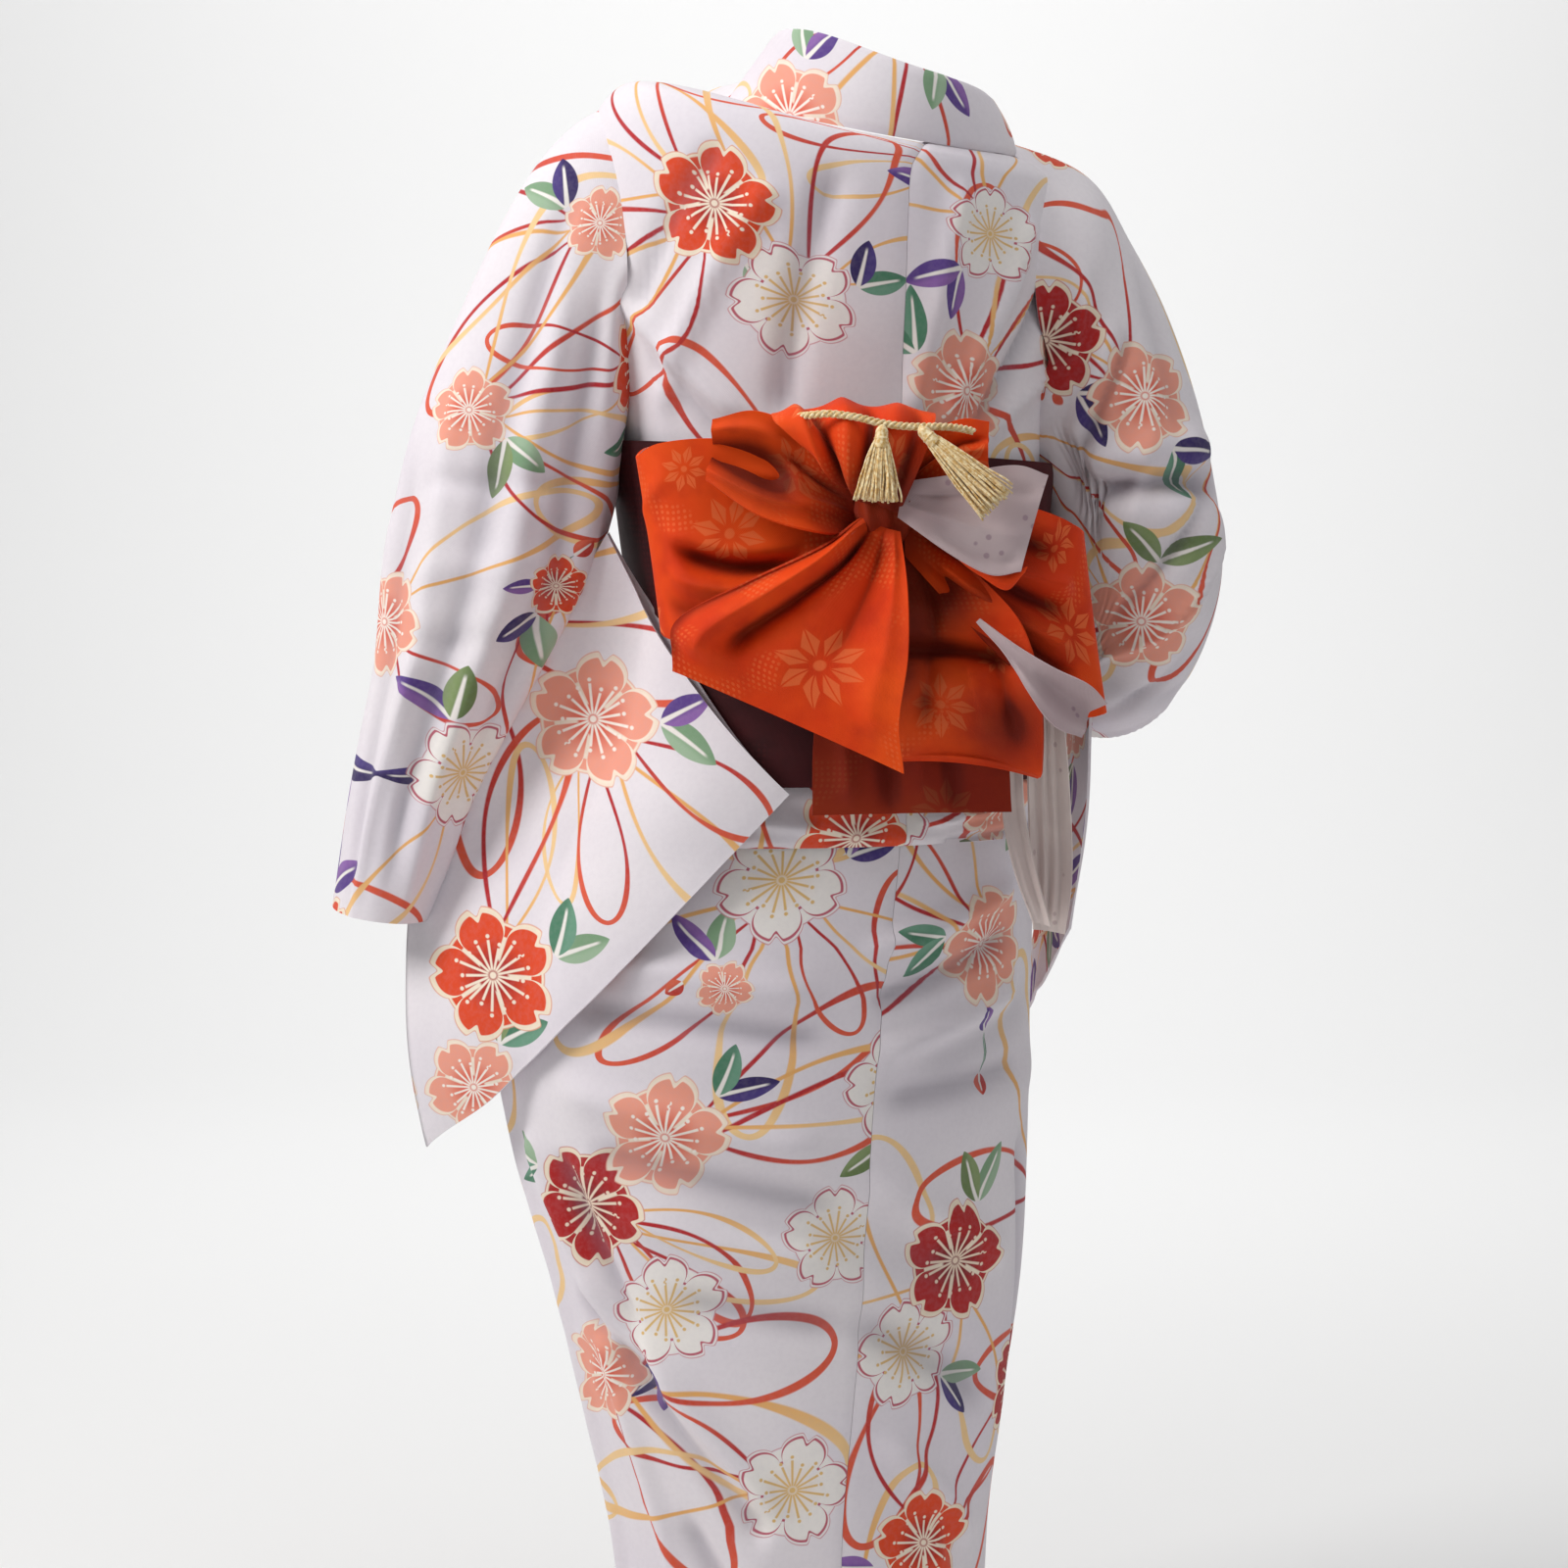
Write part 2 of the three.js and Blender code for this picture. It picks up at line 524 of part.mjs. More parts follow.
// A slab on both faces of a bag's middle. The thinner one that cuts the hollow starts before the open
// inner edge and stops short of the sewn edges.
function bagSlab(which, thinner) {
  const step = 0.01;
  const shares = steps(0, 1, 7);
  const alongs = thinner ? [-0.12, ...shares.slice(0, -1), 0.965] : shares;
  const downs = thinner ? [-0.02, ...shares.slice(1, -1), 0.965] : shares;
  const faces = [1, -1].map((face) =>
    downs.map((down) =>
      alongs.map((along) => {
        const du = bagPlace(which, along + step, down).sub(bagPlace(which, along - step, down));
        const dv = bagPlace(which, along, down + step).sub(bagPlace(which, along, down - step));
        const full = smooth(1 - down, 0, 0.3) * smooth(1 - along, 0, 0.3);
        const half = 2.4 + (bagHalf - 2.4) * full - thinner;
        return bagPlace(which, along, down).addScaledVector(du.cross(dv).normalize(), half * face);
      }),
    ),
  );
  return toSolid(wall(faces[0], faces[1]));
}

// The arm part as a solid, thinner by an inset, and longer at both ends where it cuts the hollow.
function armSolid(which, inset) {
  const rows = sleeves[which].arm;
  const centres = rows.map((row) => new THREE.Vector3(row.side, row.back, row.z));
  const loops = rows.map((row, i) => {
    const way = centres[Math.min(i + 1, rows.length - 1)].clone();
    way.sub(centres[Math.max(i - 1, 0)]).normalize();
    const tip = new THREE.Vector3(Math.cos(row.tip * toRad), 0, Math.sin(row.tip * toRad));
    const deep = tip.clone().cross(way).normalize();
    if (deep.y - deep.z * 0.6 < 0) deep.negate();
    const centre = centres[i].clone();
    if (inset > 0 && i === 0) centre.addScaledVector(way, -30);
    if (inset > 0 && i === rows.length - 1) centre.addScaledVector(way, 20);
    return steps(0, 360, 16)
      .slice(0, -1)
      .map((angle) => {
        const p = centre.clone();
        p.addScaledVector(tip, (row.across - inset) * Math.cos(angle * toRad));
        p.addScaledVector(deep, (row.deep - inset) * Math.sin(angle * toRad));
        return place(p.x, p.y, p.z);
      });
  });
  return toSolid(loft(loops));
}

function sleeve(which) {
  const outside = armSolid(which, 0).add(bagSlab(which, 0));
  const inside = armSolid(which, cloth).add(bagSlab(which, cloth));
  return toGeometry(outside.subtract(inside).subtract(dressedBody).subtract(collarSpace));
}

add('sleeve_left', sleeve('left'), printed, 0.85);
add('sleeve_right', sleeve('right'), printed, 0.85);


// Ribbons of obi cloth: rows run along the ribbon. width is its breadth, lean the slope of the breadth
// from upright to the left, swing its slope backwards, and crown how far its middle bows out.
function ribbonGrid(rows, count, across, grow) {
  const keyed = rows.map((row, at) => ({ ...row, at }));
  const read1 = (column, at) => read(keyed, 'at', column, at);
  const spot = (at) => new THREE.Vector3(read1('side', at), read1('back', at), read1('z', at) + bowRise);
  return steps(0, rows.length - 1, count).map((at) => {
    const way = spot(Math.min(at + 0.05, rows.length - 1)).sub(spot(Math.max(at - 0.05, 0))).normalize();
    const lean = read1('lean', at) * toRad;
    const swing = read1('swing', at) * toRad;
    const level = Math.cos(swing);
    const breadth = new THREE.Vector3(Math.sin(lean) * level, Math.sin(swing), Math.cos(lean) * level);
    const face = way.clone().cross(breadth).normalize();
    const half = read1('width', at) / 2 + grow;
    return steps(-1, 1, across).map((share) => {
      const p = spot(at).addScaledVector(breadth, share * half);
      return p.addScaledVector(face, read1('crown', at) * (1 - share * share));
    });
  });
}

function ribbon(rows, { count = 12, across = 6, thick = obiCloth, grow = 0 } = {}) {
  const middle = ribbonGrid(rows, count, across, grow);
  const normalAt = (i, j) => {
    const along = middle[Math.min(i + 1, count)][j].clone().sub(middle[Math.max(i - 1, 0)][j]);
    const over = middle[i][Math.min(j + 1, across)].clone().sub(middle[i][Math.max(j - 1, 0)]);
    return along.cross(over).normalize();
  };
  const face = (sign) =>
    middle.map((row, i) =>
      row.map((p, j) => {
        const q = p.clone().addScaledVector(normalAt(i, j), sign * (thick / 2 + grow));
        return place(q.x, q.y, q.z);
      }),
    );
  return wall(face(1), face(-1));
}

// Bow: the knot, then each piece trimmed by those that it lies against.
const bowRise = 11; // the whole bow's height above its table
const bowPieces = [
  {
    name: 'bow_loop_left',
    count: 15,
    rows: [
      { side: 14, back: 170, z: -284, width: 50, lean: 4, swing: 0, crown: 0 },
      { side: 55, back: 184, z: -290, width: 98, lean: 4, swing: 0, crown: 6 },
      { side: 108, back: 189, z: -302, width: 136, lean: 5, swing: 0, crown: 5 },
      { side: 146, back: 183, z: -308, width: 150, lean: 7, swing: 0, crown: 2 },
      { side: 165, back: 164, z: -309, width: 150, lean: 7, swing: 0, crown: 1 },
      { side: 158, back: 146, z: -308, width: 150, lean: 7, swing: 0, crown: 0 },
      { side: 120, back: 141, z: -302, width: 132, lean: 5, swing: 0, crown: 0 },
      { side: 66, back: 142, z: -292, width: 92, lean: 4, swing: 0, crown: 0 },
      { side: 18, back: 146, z: -286, width: 50, lean: 4, swing: 0, crown: 0 },
    ],
  },
  {
    name: 'bow_loop_right',
    count: 15,
    rows: [
      { side: -20, back: 170, z: -292, width: 50, lean: 0, swing: 0, crown: 0 },
      { side: -62, back: 184, z: -318, width: 96, lean: 4, swing: 0, crown: -6 },
      { side: -108, back: 186, z: -346, width: 136, lean: 6, swing: 4, crown: -6 },
      { side: -142, back: 176, z: -362, width: 152, lean: 6, swing: 6, crown: -2 },
      { side: -158, back: 158, z: -366, width: 154, lean: 6, swing: 6, crown: -1 },
      { side: -150, back: 142, z: -364, width: 150, lean: 6, swing: 4, crown: 0 },
      { side: -112, back: 138, z: -350, width: 132, lean: 4, swing: 0, crown: 0 },
      { side: -64, back: 142, z: -322, width: 92, lean: 2, swing: 0, crown: 0 },
      { side: -22, back: 146, z: -294, width: 48, lean: 0, swing: 0, crown: 0 },
    ],
  },
  {
    name: 'bow_tail_panel',
    rows: [
      { side: -8, back: 156, z: -302, width: 44, lean: 90, swing: 0, crown: 0 },
      { side: -18, back: 157, z: -385, width: 112, lean: 90, swing: 0, crown: 4 },
      { side: -24, back: 163, z: -450, width: 140, lean: 91, swing: 0, crown: 6 },
      { side: -26, back: 163, z: -506, width: 146, lean: 91, swing: 0, crown: 5 },
    ],
  },
  {
    name: 'bow_lobe_lower',
    rows: [
      { side: -36, back: 172, z: -318, width: 50, lean: 90, swing: 0, crown: 4 },
      { side: -54, back: 192, z: -366, width: 100, lean: 88, swing: 0, crown: 12 },
      { side: -60, back: 198, z: -420, width: 116, lean: 86, swing: 0, crown: 16 },
      { side: -62, back: 184, z: -466, width: 116, lean: 84, swing: 0, crown: 12 },
      { side: -62, back: 170, z: -474, width: 112, lean: 84, swing: 0, crown: 6 },
    ],
  },
  {
    name: 'bow_pleat_left',
    rows: [
      { side: 16, back: 186, z: -282, width: 34, lean: 10, swing: 0, crown: 2 },
      { side: 46, back: 204, z: -264, width: 72, lean: 8, swing: -10, crown: 10 },
      { side: 86, back: 208, z: -250, width: 76, lean: 2, swing: -10, crown: 8 },
      { side: 122, back: 200, z: -240, width: 44, lean: -6, swing: -6, crown: 3 },
    ],
  },
  {
    name: 'bow_pleat_right',
    rows: [
      { side: -16, back: 188, z: -276, width: 34, lean: -6, swing: 0, crown: -2 },
      { side: -34, back: 206, z: -258, width: 62, lean: -8, swing: -16, crown: -10 },
      { side: -56, back: 208, z: -248, width: 60, lean: -6, swing: -16, crown: -8 },
      { side: -80, back: 198, z: -242, width: 44, lean: 0, swing: -6, crown: -3 },
    ],
  },
  {
    name: 'bow_pleat_middle',
    rows: [
      { side: 2, back: 196, z: -276, width: 40, lean: 60, swing: 0, crown: 4 },
      { side: 16, back: 220, z: -250, width: 74, lean: 70, swing: 0, crown: 10 },
      { side: 22, back: 218, z: -220, width: 84, lean: 86, swing: 0, crown: 10 },
      { side: 22, back: 190, z: -207, width: 84, lean: 90, swing: 0, crown: 6 },
      { side: 22, back: 164, z: -214, width: 76, lean: 90, swing: 0, crown: 2 },
    ],
  },
  {
    name: 'bow_corner_flap',
    rows: [
      { side: -16, back: 194, z: -276, width: 26, lean: -10, swing: 0, crown: 0 },
      { side: -50, back: 214, z: -284, width: 54, lean: -12, swing: -8, crown: -3 },
      { side: -88, back: 218, z: -290, width: 80, lean: -14, swing: -8, crown: -4 },
      { side: -112, back: 214, z: -293, width: 72, lean: -16, swing: -6, crown: -2 },
    ],
  },
  {
    name: 'bow_flap_front',
    rows: [
      { side: -2, back: 198, z: -294, width: 30, lean: 70, swing: 0, crown: 2 },
      { side: 14, back: 220, z: -326, width: 74, lean: 68, swing: 0, crown: 10 },
      { side: 36, back: 228, z: -364, width: 122, lean: 66, swing: 0, crown: 12 },
      { side: 54, back: 226, z: -404, width: 160, lean: 66, swing: 0, crown: 8 },
      { side: 65, back: 218, z: -436, width: 182, lean: 66, swing: 0, crown: 3 },
    ],
  },
];
const knot = { side: -2, back: 162, z: -284, across: 26, deep: 39, tall: 30 };

// The knot: bunched cloth, a rounded solid with upright pleats.
function knotForm(grow) {
  const loops = steps(-80, 80, 6).map((rise) =>
    steps(0, 360, 15)
      .slice(0, -1)
      .map((angle) => {
        const pleat = 1 + 0.08 * Math.cos(angle * 5 * toRad);
        const reach = Math.cos(rise * toRad) * pleat;
        return place(
          knot.side + (knot.across * reach + grow) * Math.cos(angle * toRad),
          knot.back + (knot.deep * reach + grow) * Math.sin(angle * toRad),
          knot.z + bowRise + (knot.tall + grow) * Math.sin(rise * toRad),
        );
      }),
  );
  return loft(loops);
}

add('bow_knot', trimmed(knotForm(0), dressedBody), obiOrange, 0.45);
const laid = [dressedBody, toSolid(knotForm(seamGap))];
for (const piece of bowPieces) {
  const options = { count: piece.count ?? 8, across: 4 };
  const colour = piece.name === 'bow_corner_flap' ? paleReverse : obiOrange;
  add(piece.name, trimmed(ribbon(piece.rows, options), ...laid), colour, 0.45);
  laid.push(toSolid(ribbon(piece.rows, { ...options, grow: seamGap })));
}

// Pale tie ends: two flat ends that hang under the right loop.
const ties = [
  {
    name: 'tie_end_long',
    rows: [
      { side: -128, back: 133.2, z: -404, width: 36, lean: 88, swing: 0, crown: 0 },
      { side: -132, back: 129.4, z: -480, width: 40, lean: 86, swing: 10, crown: 6 },
      { side: -131, back: 123.4, z: -550, width: 36, lean: 84, swing: 10, crown: 5 },
      { side: -126, back: 118, z: -598, width: 26, lean: 80, swing: 10, crown: 3 },
    ],
  },
  {
    name: 'tie_end_short',
    rows: [
      { side: -110, back: 135.4, z: -404, width: 26, lean: 88, swing: 0, crown: 0 },
      { side: -110, back: 137.4, z: -490, width: 30, lean: 88, swing: 0, crown: 4 },
      { side: -112, back: 140, z: -550, width: 28, lean: 86, swing: 0, crown: 4 },
      { side: -118, back: 138, z: -594, width: 22, lean: 84, swing: 0, crown: 2 },
    ],
  },
];
for (const tie of ties) {
  const options = { count: 8, across: 4, thick: cloth };
  add(tie.name, trimmed(ribbon(tie.rows, options), ...laid), paleReverse, 0.7);
  laid.push(toSolid(ribbon(tie.rows, { ...options, grow: seamGap })));
}

// The cord over the top of the bow, from its left pleat to its right one.
const cordWidth = 6;
const cordRoute = [
  [62, 218, -206],
  [50, 229, -205],
  [38, 233, -204],
  [26, 234, -205],
  [14, 234, -207],
  [2, 233, -210],
  [-10, 231, -212],
  [-22, 228, -213],
  [-34, 224, -213],
  [-46, 219, -213],
  [-58, 212, -214],
  [-68, 205, -216],
].map(([side, back, z]) => place(side, back, z));

function cord(grow) {
  const curve = new THREE.CatmullRomCurve3(cordRoute);
  const section = new THREE.Shape().absarc(0, 0, cordWidth / 2 + grow, 0, Math.PI * 2);
  const options = { steps: 14, curveSegments: 8, extrudePath: curve, bevelEnabled: false };
  return new THREE.ExtrudeGeometry(section, options);
}

// Tassels: a bound head and its strands, fused at the roots.
const tassels = [
  { name: 'tassel_left', side: -2, back: 234, z: -211.5, lean: 4, length: 56, spread: 15 },
  { name: 'tassel_right', side: -28, back: 228, z: -213.5, lean: -46, length: 80, spread: 13 },
];
const strandCount = 16;

function tassel({ side, back, z, lean, length, spread }) {
  const down = new THREE.Vector3(Math.sin(lean * toRad), 0.12, -Math.cos(lean * toRad)).normalize();
  const wide = new THREE.Vector3(-down.z, 0, down.x).normalize();
  const deep = down.clone().cross(wide).normalize();
  const top = new THREE.Vector3(side, back, z);
  const loop = (drop, radius, sides, offset) =>
    steps(0, 360, sides)
      .slice(0, -1)
      .map((angle) => {
        const p = top.clone().addScaledVector(down, drop).add(offset);
        p.addScaledVector(wide, radius * Math.cos(angle * toRad));
        p.addScaledVector(deep, radius * Math.sin(angle * toRad));
        return place(p.x, p.y, p.z);
      });
  const none = new THREE.Vector3();
  const headRows = [
    { drop: 0, radius: 2.4 },
    { drop: 4, radius: 4.6 },
    { drop: 11, radius: 5 },
    { drop: 15, radius: 5.6 },
  ];
  let solid = toSolid(loft(headRows.map(({ drop, radius }) => loop(drop, radius, 8, none))));
  for (let i = 0; i < strandCount; i += 1) {
    const angle = i * 137.5 * toRad;
    const reach = Math.sqrt((i + 0.5) / strandCount);
    const at = (out) => {
      const sideways = wide.clone().multiplyScalar(Math.cos(angle) * reach * out);
      return sideways.addScaledVector(deep, Math.sin(angle) * reach * out * 0.45);
    };
    const end = length - 5 * ((i * 7) % 5) / 4;
    const rows = [
      { drop: 9, out: 3.4 },
      { drop: lerp(15, end, 0.45), out: spread * 0.62 },
      { drop: end, out: spread },
    ];
    solid = solid.add(toSolid(loft(rows.map(({ drop, out }) => loop(drop, 1.15, 3, at(out))))));
  }
  return toGeometry(solid);
}

add('bow_cord', trimmed(cord(0), ...laid), cordYellow, 0.6);
laid.push(toSolid(cord(seamGap)));
for (const one of tassels) add(one.name, trimmed(tassel(one), ...laid), cordYellow, 0.6);

export default kimono;
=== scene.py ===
import math
import random

import bmesh
import bpy
import numpy as np
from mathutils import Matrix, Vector
from mathutils.bvhtree import BVHTree


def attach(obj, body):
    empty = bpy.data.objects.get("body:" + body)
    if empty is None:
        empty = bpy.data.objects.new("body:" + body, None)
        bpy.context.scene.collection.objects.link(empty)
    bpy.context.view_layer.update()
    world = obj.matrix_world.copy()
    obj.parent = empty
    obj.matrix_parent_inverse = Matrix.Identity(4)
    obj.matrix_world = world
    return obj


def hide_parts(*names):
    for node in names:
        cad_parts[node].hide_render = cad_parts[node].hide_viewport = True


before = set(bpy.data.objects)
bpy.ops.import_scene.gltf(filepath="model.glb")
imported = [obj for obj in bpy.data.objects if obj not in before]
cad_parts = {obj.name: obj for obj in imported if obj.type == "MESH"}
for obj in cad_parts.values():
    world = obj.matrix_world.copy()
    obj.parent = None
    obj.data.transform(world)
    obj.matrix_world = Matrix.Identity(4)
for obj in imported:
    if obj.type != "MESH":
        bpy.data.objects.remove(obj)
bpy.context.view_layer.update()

mm = 0.001
poseTurn = math.radians(18)  # the worn pose stands turned to the row's axes


def place(side, back, z):
    # side grows to the wearer's left, back behind, all in millimetres; the answer is in metres
    c, s = math.cos(poseTurn), math.sin(poseTurn)
    return np.stack(np.broadcast_arrays(side * c + back * s, back * c - side * s, z), -1) * mm


# Camera: looks along the garment's own back
camera = {"side": 68, "back": 0, "z": -484.5, "rise": 4.0, "distance": 3.2, "lens": 95.1}


def makeCamera():
    aim = Vector(place(camera["side"], camera["back"], camera["z"]).tolist())
    rise = math.radians(camera["rise"])
    way = Vector((math.sin(poseTurn) * math.cos(rise), math.cos(poseTurn) * math.cos(rise), math.sin(rise)))
    data = bpy.data.cameras.new("camera")
    data.lens = camera["lens"]
    data.clip_start, data.clip_end = 0.1, 50
    cam = bpy.data.objects.new("camera", data)
    cam.location = aim + way * camera["distance"]
    cam.rotation_mode = "QUATERNION"
    cam.rotation_quaternion = (-way).to_track_quat("-Z", "Y")
    bpy.context.scene.collection.objects.link(cam)
    bpy.context.scene.camera = cam


makeCamera()
print("camera ready")


# Small helpers for the shader trees
def newMaterial(name):
    material = bpy.data.materials.new(name)
    material.use_nodes = True
    return material, material.node_tree, material.node_tree.nodes["Principled BSDF"]


def feed(tree, socket, value):
    if isinstance(value, bpy.types.NodeSocket):
        tree.links.new(value, socket)
    elif value is not None:
        socket.default_value = value


def calc(tree, operation, *values):
    node = tree.nodes.new("ShaderNodeMath")
    node.operation = operation
    for socket, value in zip(node.inputs, values):
        feed(tree, socket, value)
    return node.outputs[0]


def plus(tree, a, b):
    return calc(tree, "ADD", a, b)


def minus(tree, a, b):
    return calc(tree, "SUBTRACT", a, b)


def times(tree, a, b):
    return calc(tree, "MULTIPLY", a, b)


def over(tree, a, b):
    return calc(tree, "DIVIDE", a, b)


def larger(tree, a, b):
    return calc(tree, "MAXIMUM", a, b)


def absolute(tree, a):
    return calc(tree, "ABSOLUTE", a)


def soft(tree, value, low, high):
    # 0 where value is under low, 1 over high, and the other way round if low is the larger
    node = tree.nodes.new("ShaderNodeMapRange")
    node.interpolation_type = "SMOOTHSTEP" if abs(high - low) > 0.05 else "LINEAR"
    feed(tree, node.inputs["Value"], value)
    feed(tree, node.inputs["From Min"], low)
    feed(tree, node.inputs["From Max"], high)
    return node.outputs["Result"]


def mixed(tree, amount, a, b):
    node = tree.nodes.new("ShaderNodeMix")
    node.data_type = "RGBA"
    feed(tree, node.inputs[0], amount)
    feed(tree, node.inputs[6], a)
    feed(tree, node.inputs[7], b)
    return node.outputs[2]


def colour(code):
    # a screen colour such as "DE4A22" as linear values
    out = []
    for i in (0, 2, 4):
        c = int(code[i:i + 2], 16) / 255
        out.append(c / 12.92 if c <= 0.04045 else ((c + 0.055) / 1.055) ** 2.4)
    return (*out, 1.0)


def choose(tree, kind, codes):
    # one colour for each kind, counted from 1
    node = tree.nodes.new("ShaderNodeValToRGB")
    ramp = node.color_ramp
    ramp.interpolation = "CONSTANT"
    count = len(codes)
    while len(ramp.elements) < count:
        ramp.elements.new(0.5)
    for i, code in enumerate(codes):
        ramp.elements[i].position = i / count
        ramp.elements[i].color = colour(code)
    feed(tree, node.inputs[0], over(tree, minus(tree, kind, 0.5), count))
    return node.outputs[0]


def noiseOn(tree, vector, scale, detail=2.0, rough=0.5):
    node = tree.nodes.new("ShaderNodeTexNoise")
    feed(tree, node.inputs["Vector"], vector)
    node.inputs["Scale"].default_value = scale
    node.inputs["Detail"].default_value = detail
    node.inputs["Roughness"].default_value = rough
    return node.outputs["Fac"]


def objectPlace(tree):
    return tree.nodes.new("ShaderNodeTexCoord").outputs["Object"]


def attribute(tree, name):
    node = tree.nodes.new("ShaderNodeAttribute")
    node.attribute_name = name
    return node.outputs["Vector"]


def valueOf(tree, name):
    node = tree.nodes.new("ShaderNodeAttribute")
    node.attribute_name = name
    return node.outputs["Fac"]


def motifGroup(name):
    group = bpy.data.node_groups.new(name, "ShaderNodeTree")
    group.interface.new_socket(name="Place", in_out="INPUT", socket_type="NodeSocketVector")
    group.interface.new_socket(name="Colour", in_out="OUTPUT", socket_type="NodeSocketColor")
    group.interface.new_socket(name="Cover", in_out="OUTPUT", socket_type="NodeSocketFloat")
    source = group.nodes.new("NodeGroupInput").outputs["Place"]
    target = group.nodes.new("NodeGroupOutput")
    split = group.nodes.new("ShaderNodeSeparateXYZ")
    group.links.new(source, split.inputs[0])
    return group, split.outputs, target


# Printed motifs: each reads a place on the flat cloth about its own middle
blossomColours = {
    "edge": ["E0481F", "B3201E", "F0A08A", "F3EEEA"],
    "core": ["A81A16", "7F0F14", "DE5F48", "F0E3DA"],
    "line": ["F3E2CA", "F3E2CA", "F7E6D4", "BE5C6C"],
    "stamen": ["F6E6D2", "F2DCC6", "FBF0E6", "E3BC78"],
    "ring": ["F3E4CE", "F3E4CE", "F3E2D0", "EFE9EA"],
    "rim": ["E08A6C", "C9655A", "E8A58F", "C9707C"],
}


def blossomGroup():
    t, (x, y, code), target = motifGroup("blossom")
    kind = calc(t, "FLOOR", code)
    r = calc(t, "SQRT", plus(t, times(t, x, x), times(t, y, y)))
    theta = plus(t, over(t, calc(t, "ARCTAN2", y, x), 2 * math.pi), 1)
    phi = absolute(t, minus(t, calc(t, "FRACT", times(t, theta, 5)), 0.5))
    across = times(t, phi, 2)  # 0 in a petal's middle, 1 at its side
    spread = over(t, across, 0.93)
    roundness = calc(t, "SQRT", larger(t, minus(t, 1, times(t, spread, spread)), 0))
    notch = times(t, soft(t, across, 0.2, 0.0), 0.13)
    reach = minus(t, plus(t, times(t, roundness, 0.4), 0.52), notch)
    gap = times(t, times(t, minus(t, 1, across), 0.628), r)
    petal = times(t, soft(t, minus(t, reach, r), 0.0, 0.02),
                  larger(t, soft(t, gap, 0.022, 0.04), soft(t, r, 0.26, 0.2)))
    ringReach = larger(t, plus(t, reach, 0.085), 0.79)
    patch = times(t, soft(t, minus(t, r, plus(t, reach, 0.045)), 0.0, 0.02),
                  soft(t, minus(t, minus(t, ringReach, 0.05), r), 0.0, 0.02))
    cover = soft(t, minus(t, ringReach, r), 0.0, 0.018)
    toRim = absolute(t, minus(t, r, minus(t, ringReach, 0.012)))
    rim = times(t, soft(t, toRim, 0.02, 0.008), 0.8)
    outline = soft(t, absolute(t, minus(t, r, reach)), 0.03, 0.014)
    spokes = 17
    turn = times(t, theta, spokes)
    step = times(t, absolute(t, minus(t, calc(t, "FRACT", turn), 0.5)), 2 * math.pi / spokes)
    aside = times(t, step, r)
    odd = calc(t, "SINE", times(t, calc(t, "FLOOR", turn), 2.4))
    end = plus(t, times(t, odd, 0.07), 0.47)
    thread = times(t, soft(t, minus(t, aside, times(t, r, 0.012)), 0.022, 0.008),
                   times(t, soft(t, r, 0.05, 0.09), soft(t, minus(t, end, r), 0.0, 0.02)))
    toDot = minus(t, r, plus(t, end, 0.045))
    dot = soft(t, calc(t, "SQRT", plus(t, times(t, toDot, toDot), times(t, aside, aside))), 0.036, 0.022)
    stamens = larger(t, thread, dot)
    petalTone = mixed(t, soft(t, r, 0.62, 0.12), choose(t, kind, blossomColours["edge"]),
                      choose(t, kind, blossomColours["core"]))
    paint = mixed(t, petal, choose(t, kind, blossomColours["ring"]), petalTone)
    paint = mixed(t, patch, paint, choose(t, kind, blossomColours["edge"]))
    paint = mixed(t, outline, paint, choose(t, kind, blossomColours["line"]))
    paint = mixed(t, stamens, paint, choose(t, kind, blossomColours["stamen"]))
    paint = mixed(t, soft(t, r, 0.06, 0.04), paint, choose(t, kind, blossomColours["stamen"]))
    paint = mixed(t, rim, paint, choose(t, kind, blossomColours["rim"]))
    feed(t, target.inputs["Colour"], paint)
    feed(t, target.inputs["Cover"], times(t, cover, soft(t, code, 0.4, 0.6)))
    return t


def loopGroup():
    # a long thin petal drawn as one closed line, narrow at its root and round at its tip
    t, (s, d, code), target = motifGroup("longPetal")
    kind = calc(t, "FLOOR", code)

    def half(at):
        left = larger(t, minus(t, 1, at), 0)
        return times(t, times(t, larger(t, at, 0), calc(t, "SQRT", left)), 2.6)

    away = absolute(t, d)
    outer = minus(t, half(s), away)
    inner = over(t, minus(t, s, 0.025), 0.948)
    swell = plus(t, times(t, calc(t, "SINE", times(t, plus(t, s, code), 7)), 0.06), 0.815)
    hollow = minus(t, times(t, half(inner), swell), away)
    line = times(t, soft(t, outer, 0.0, 0.04), soft(t, hollow, 0.03, 0.0))
    tone = plus(t, times(t, d, 0.3), s)
    near = choose(t, kind, ["B8262B", "ECAF66", "C9707C", "6E1F33"])
    far = choose(t, kind, ["DE5A3E", "F4CE96", "E8A0A0", "C0392F"])
    feed(t, target.inputs["Colour"], mixed(t, soft(t, tone, 0.1, 0.9), near, far))
    feed(t, target.inputs["Cover"], times(t, line, soft(t, code, 0.4, 0.6)))
    return t


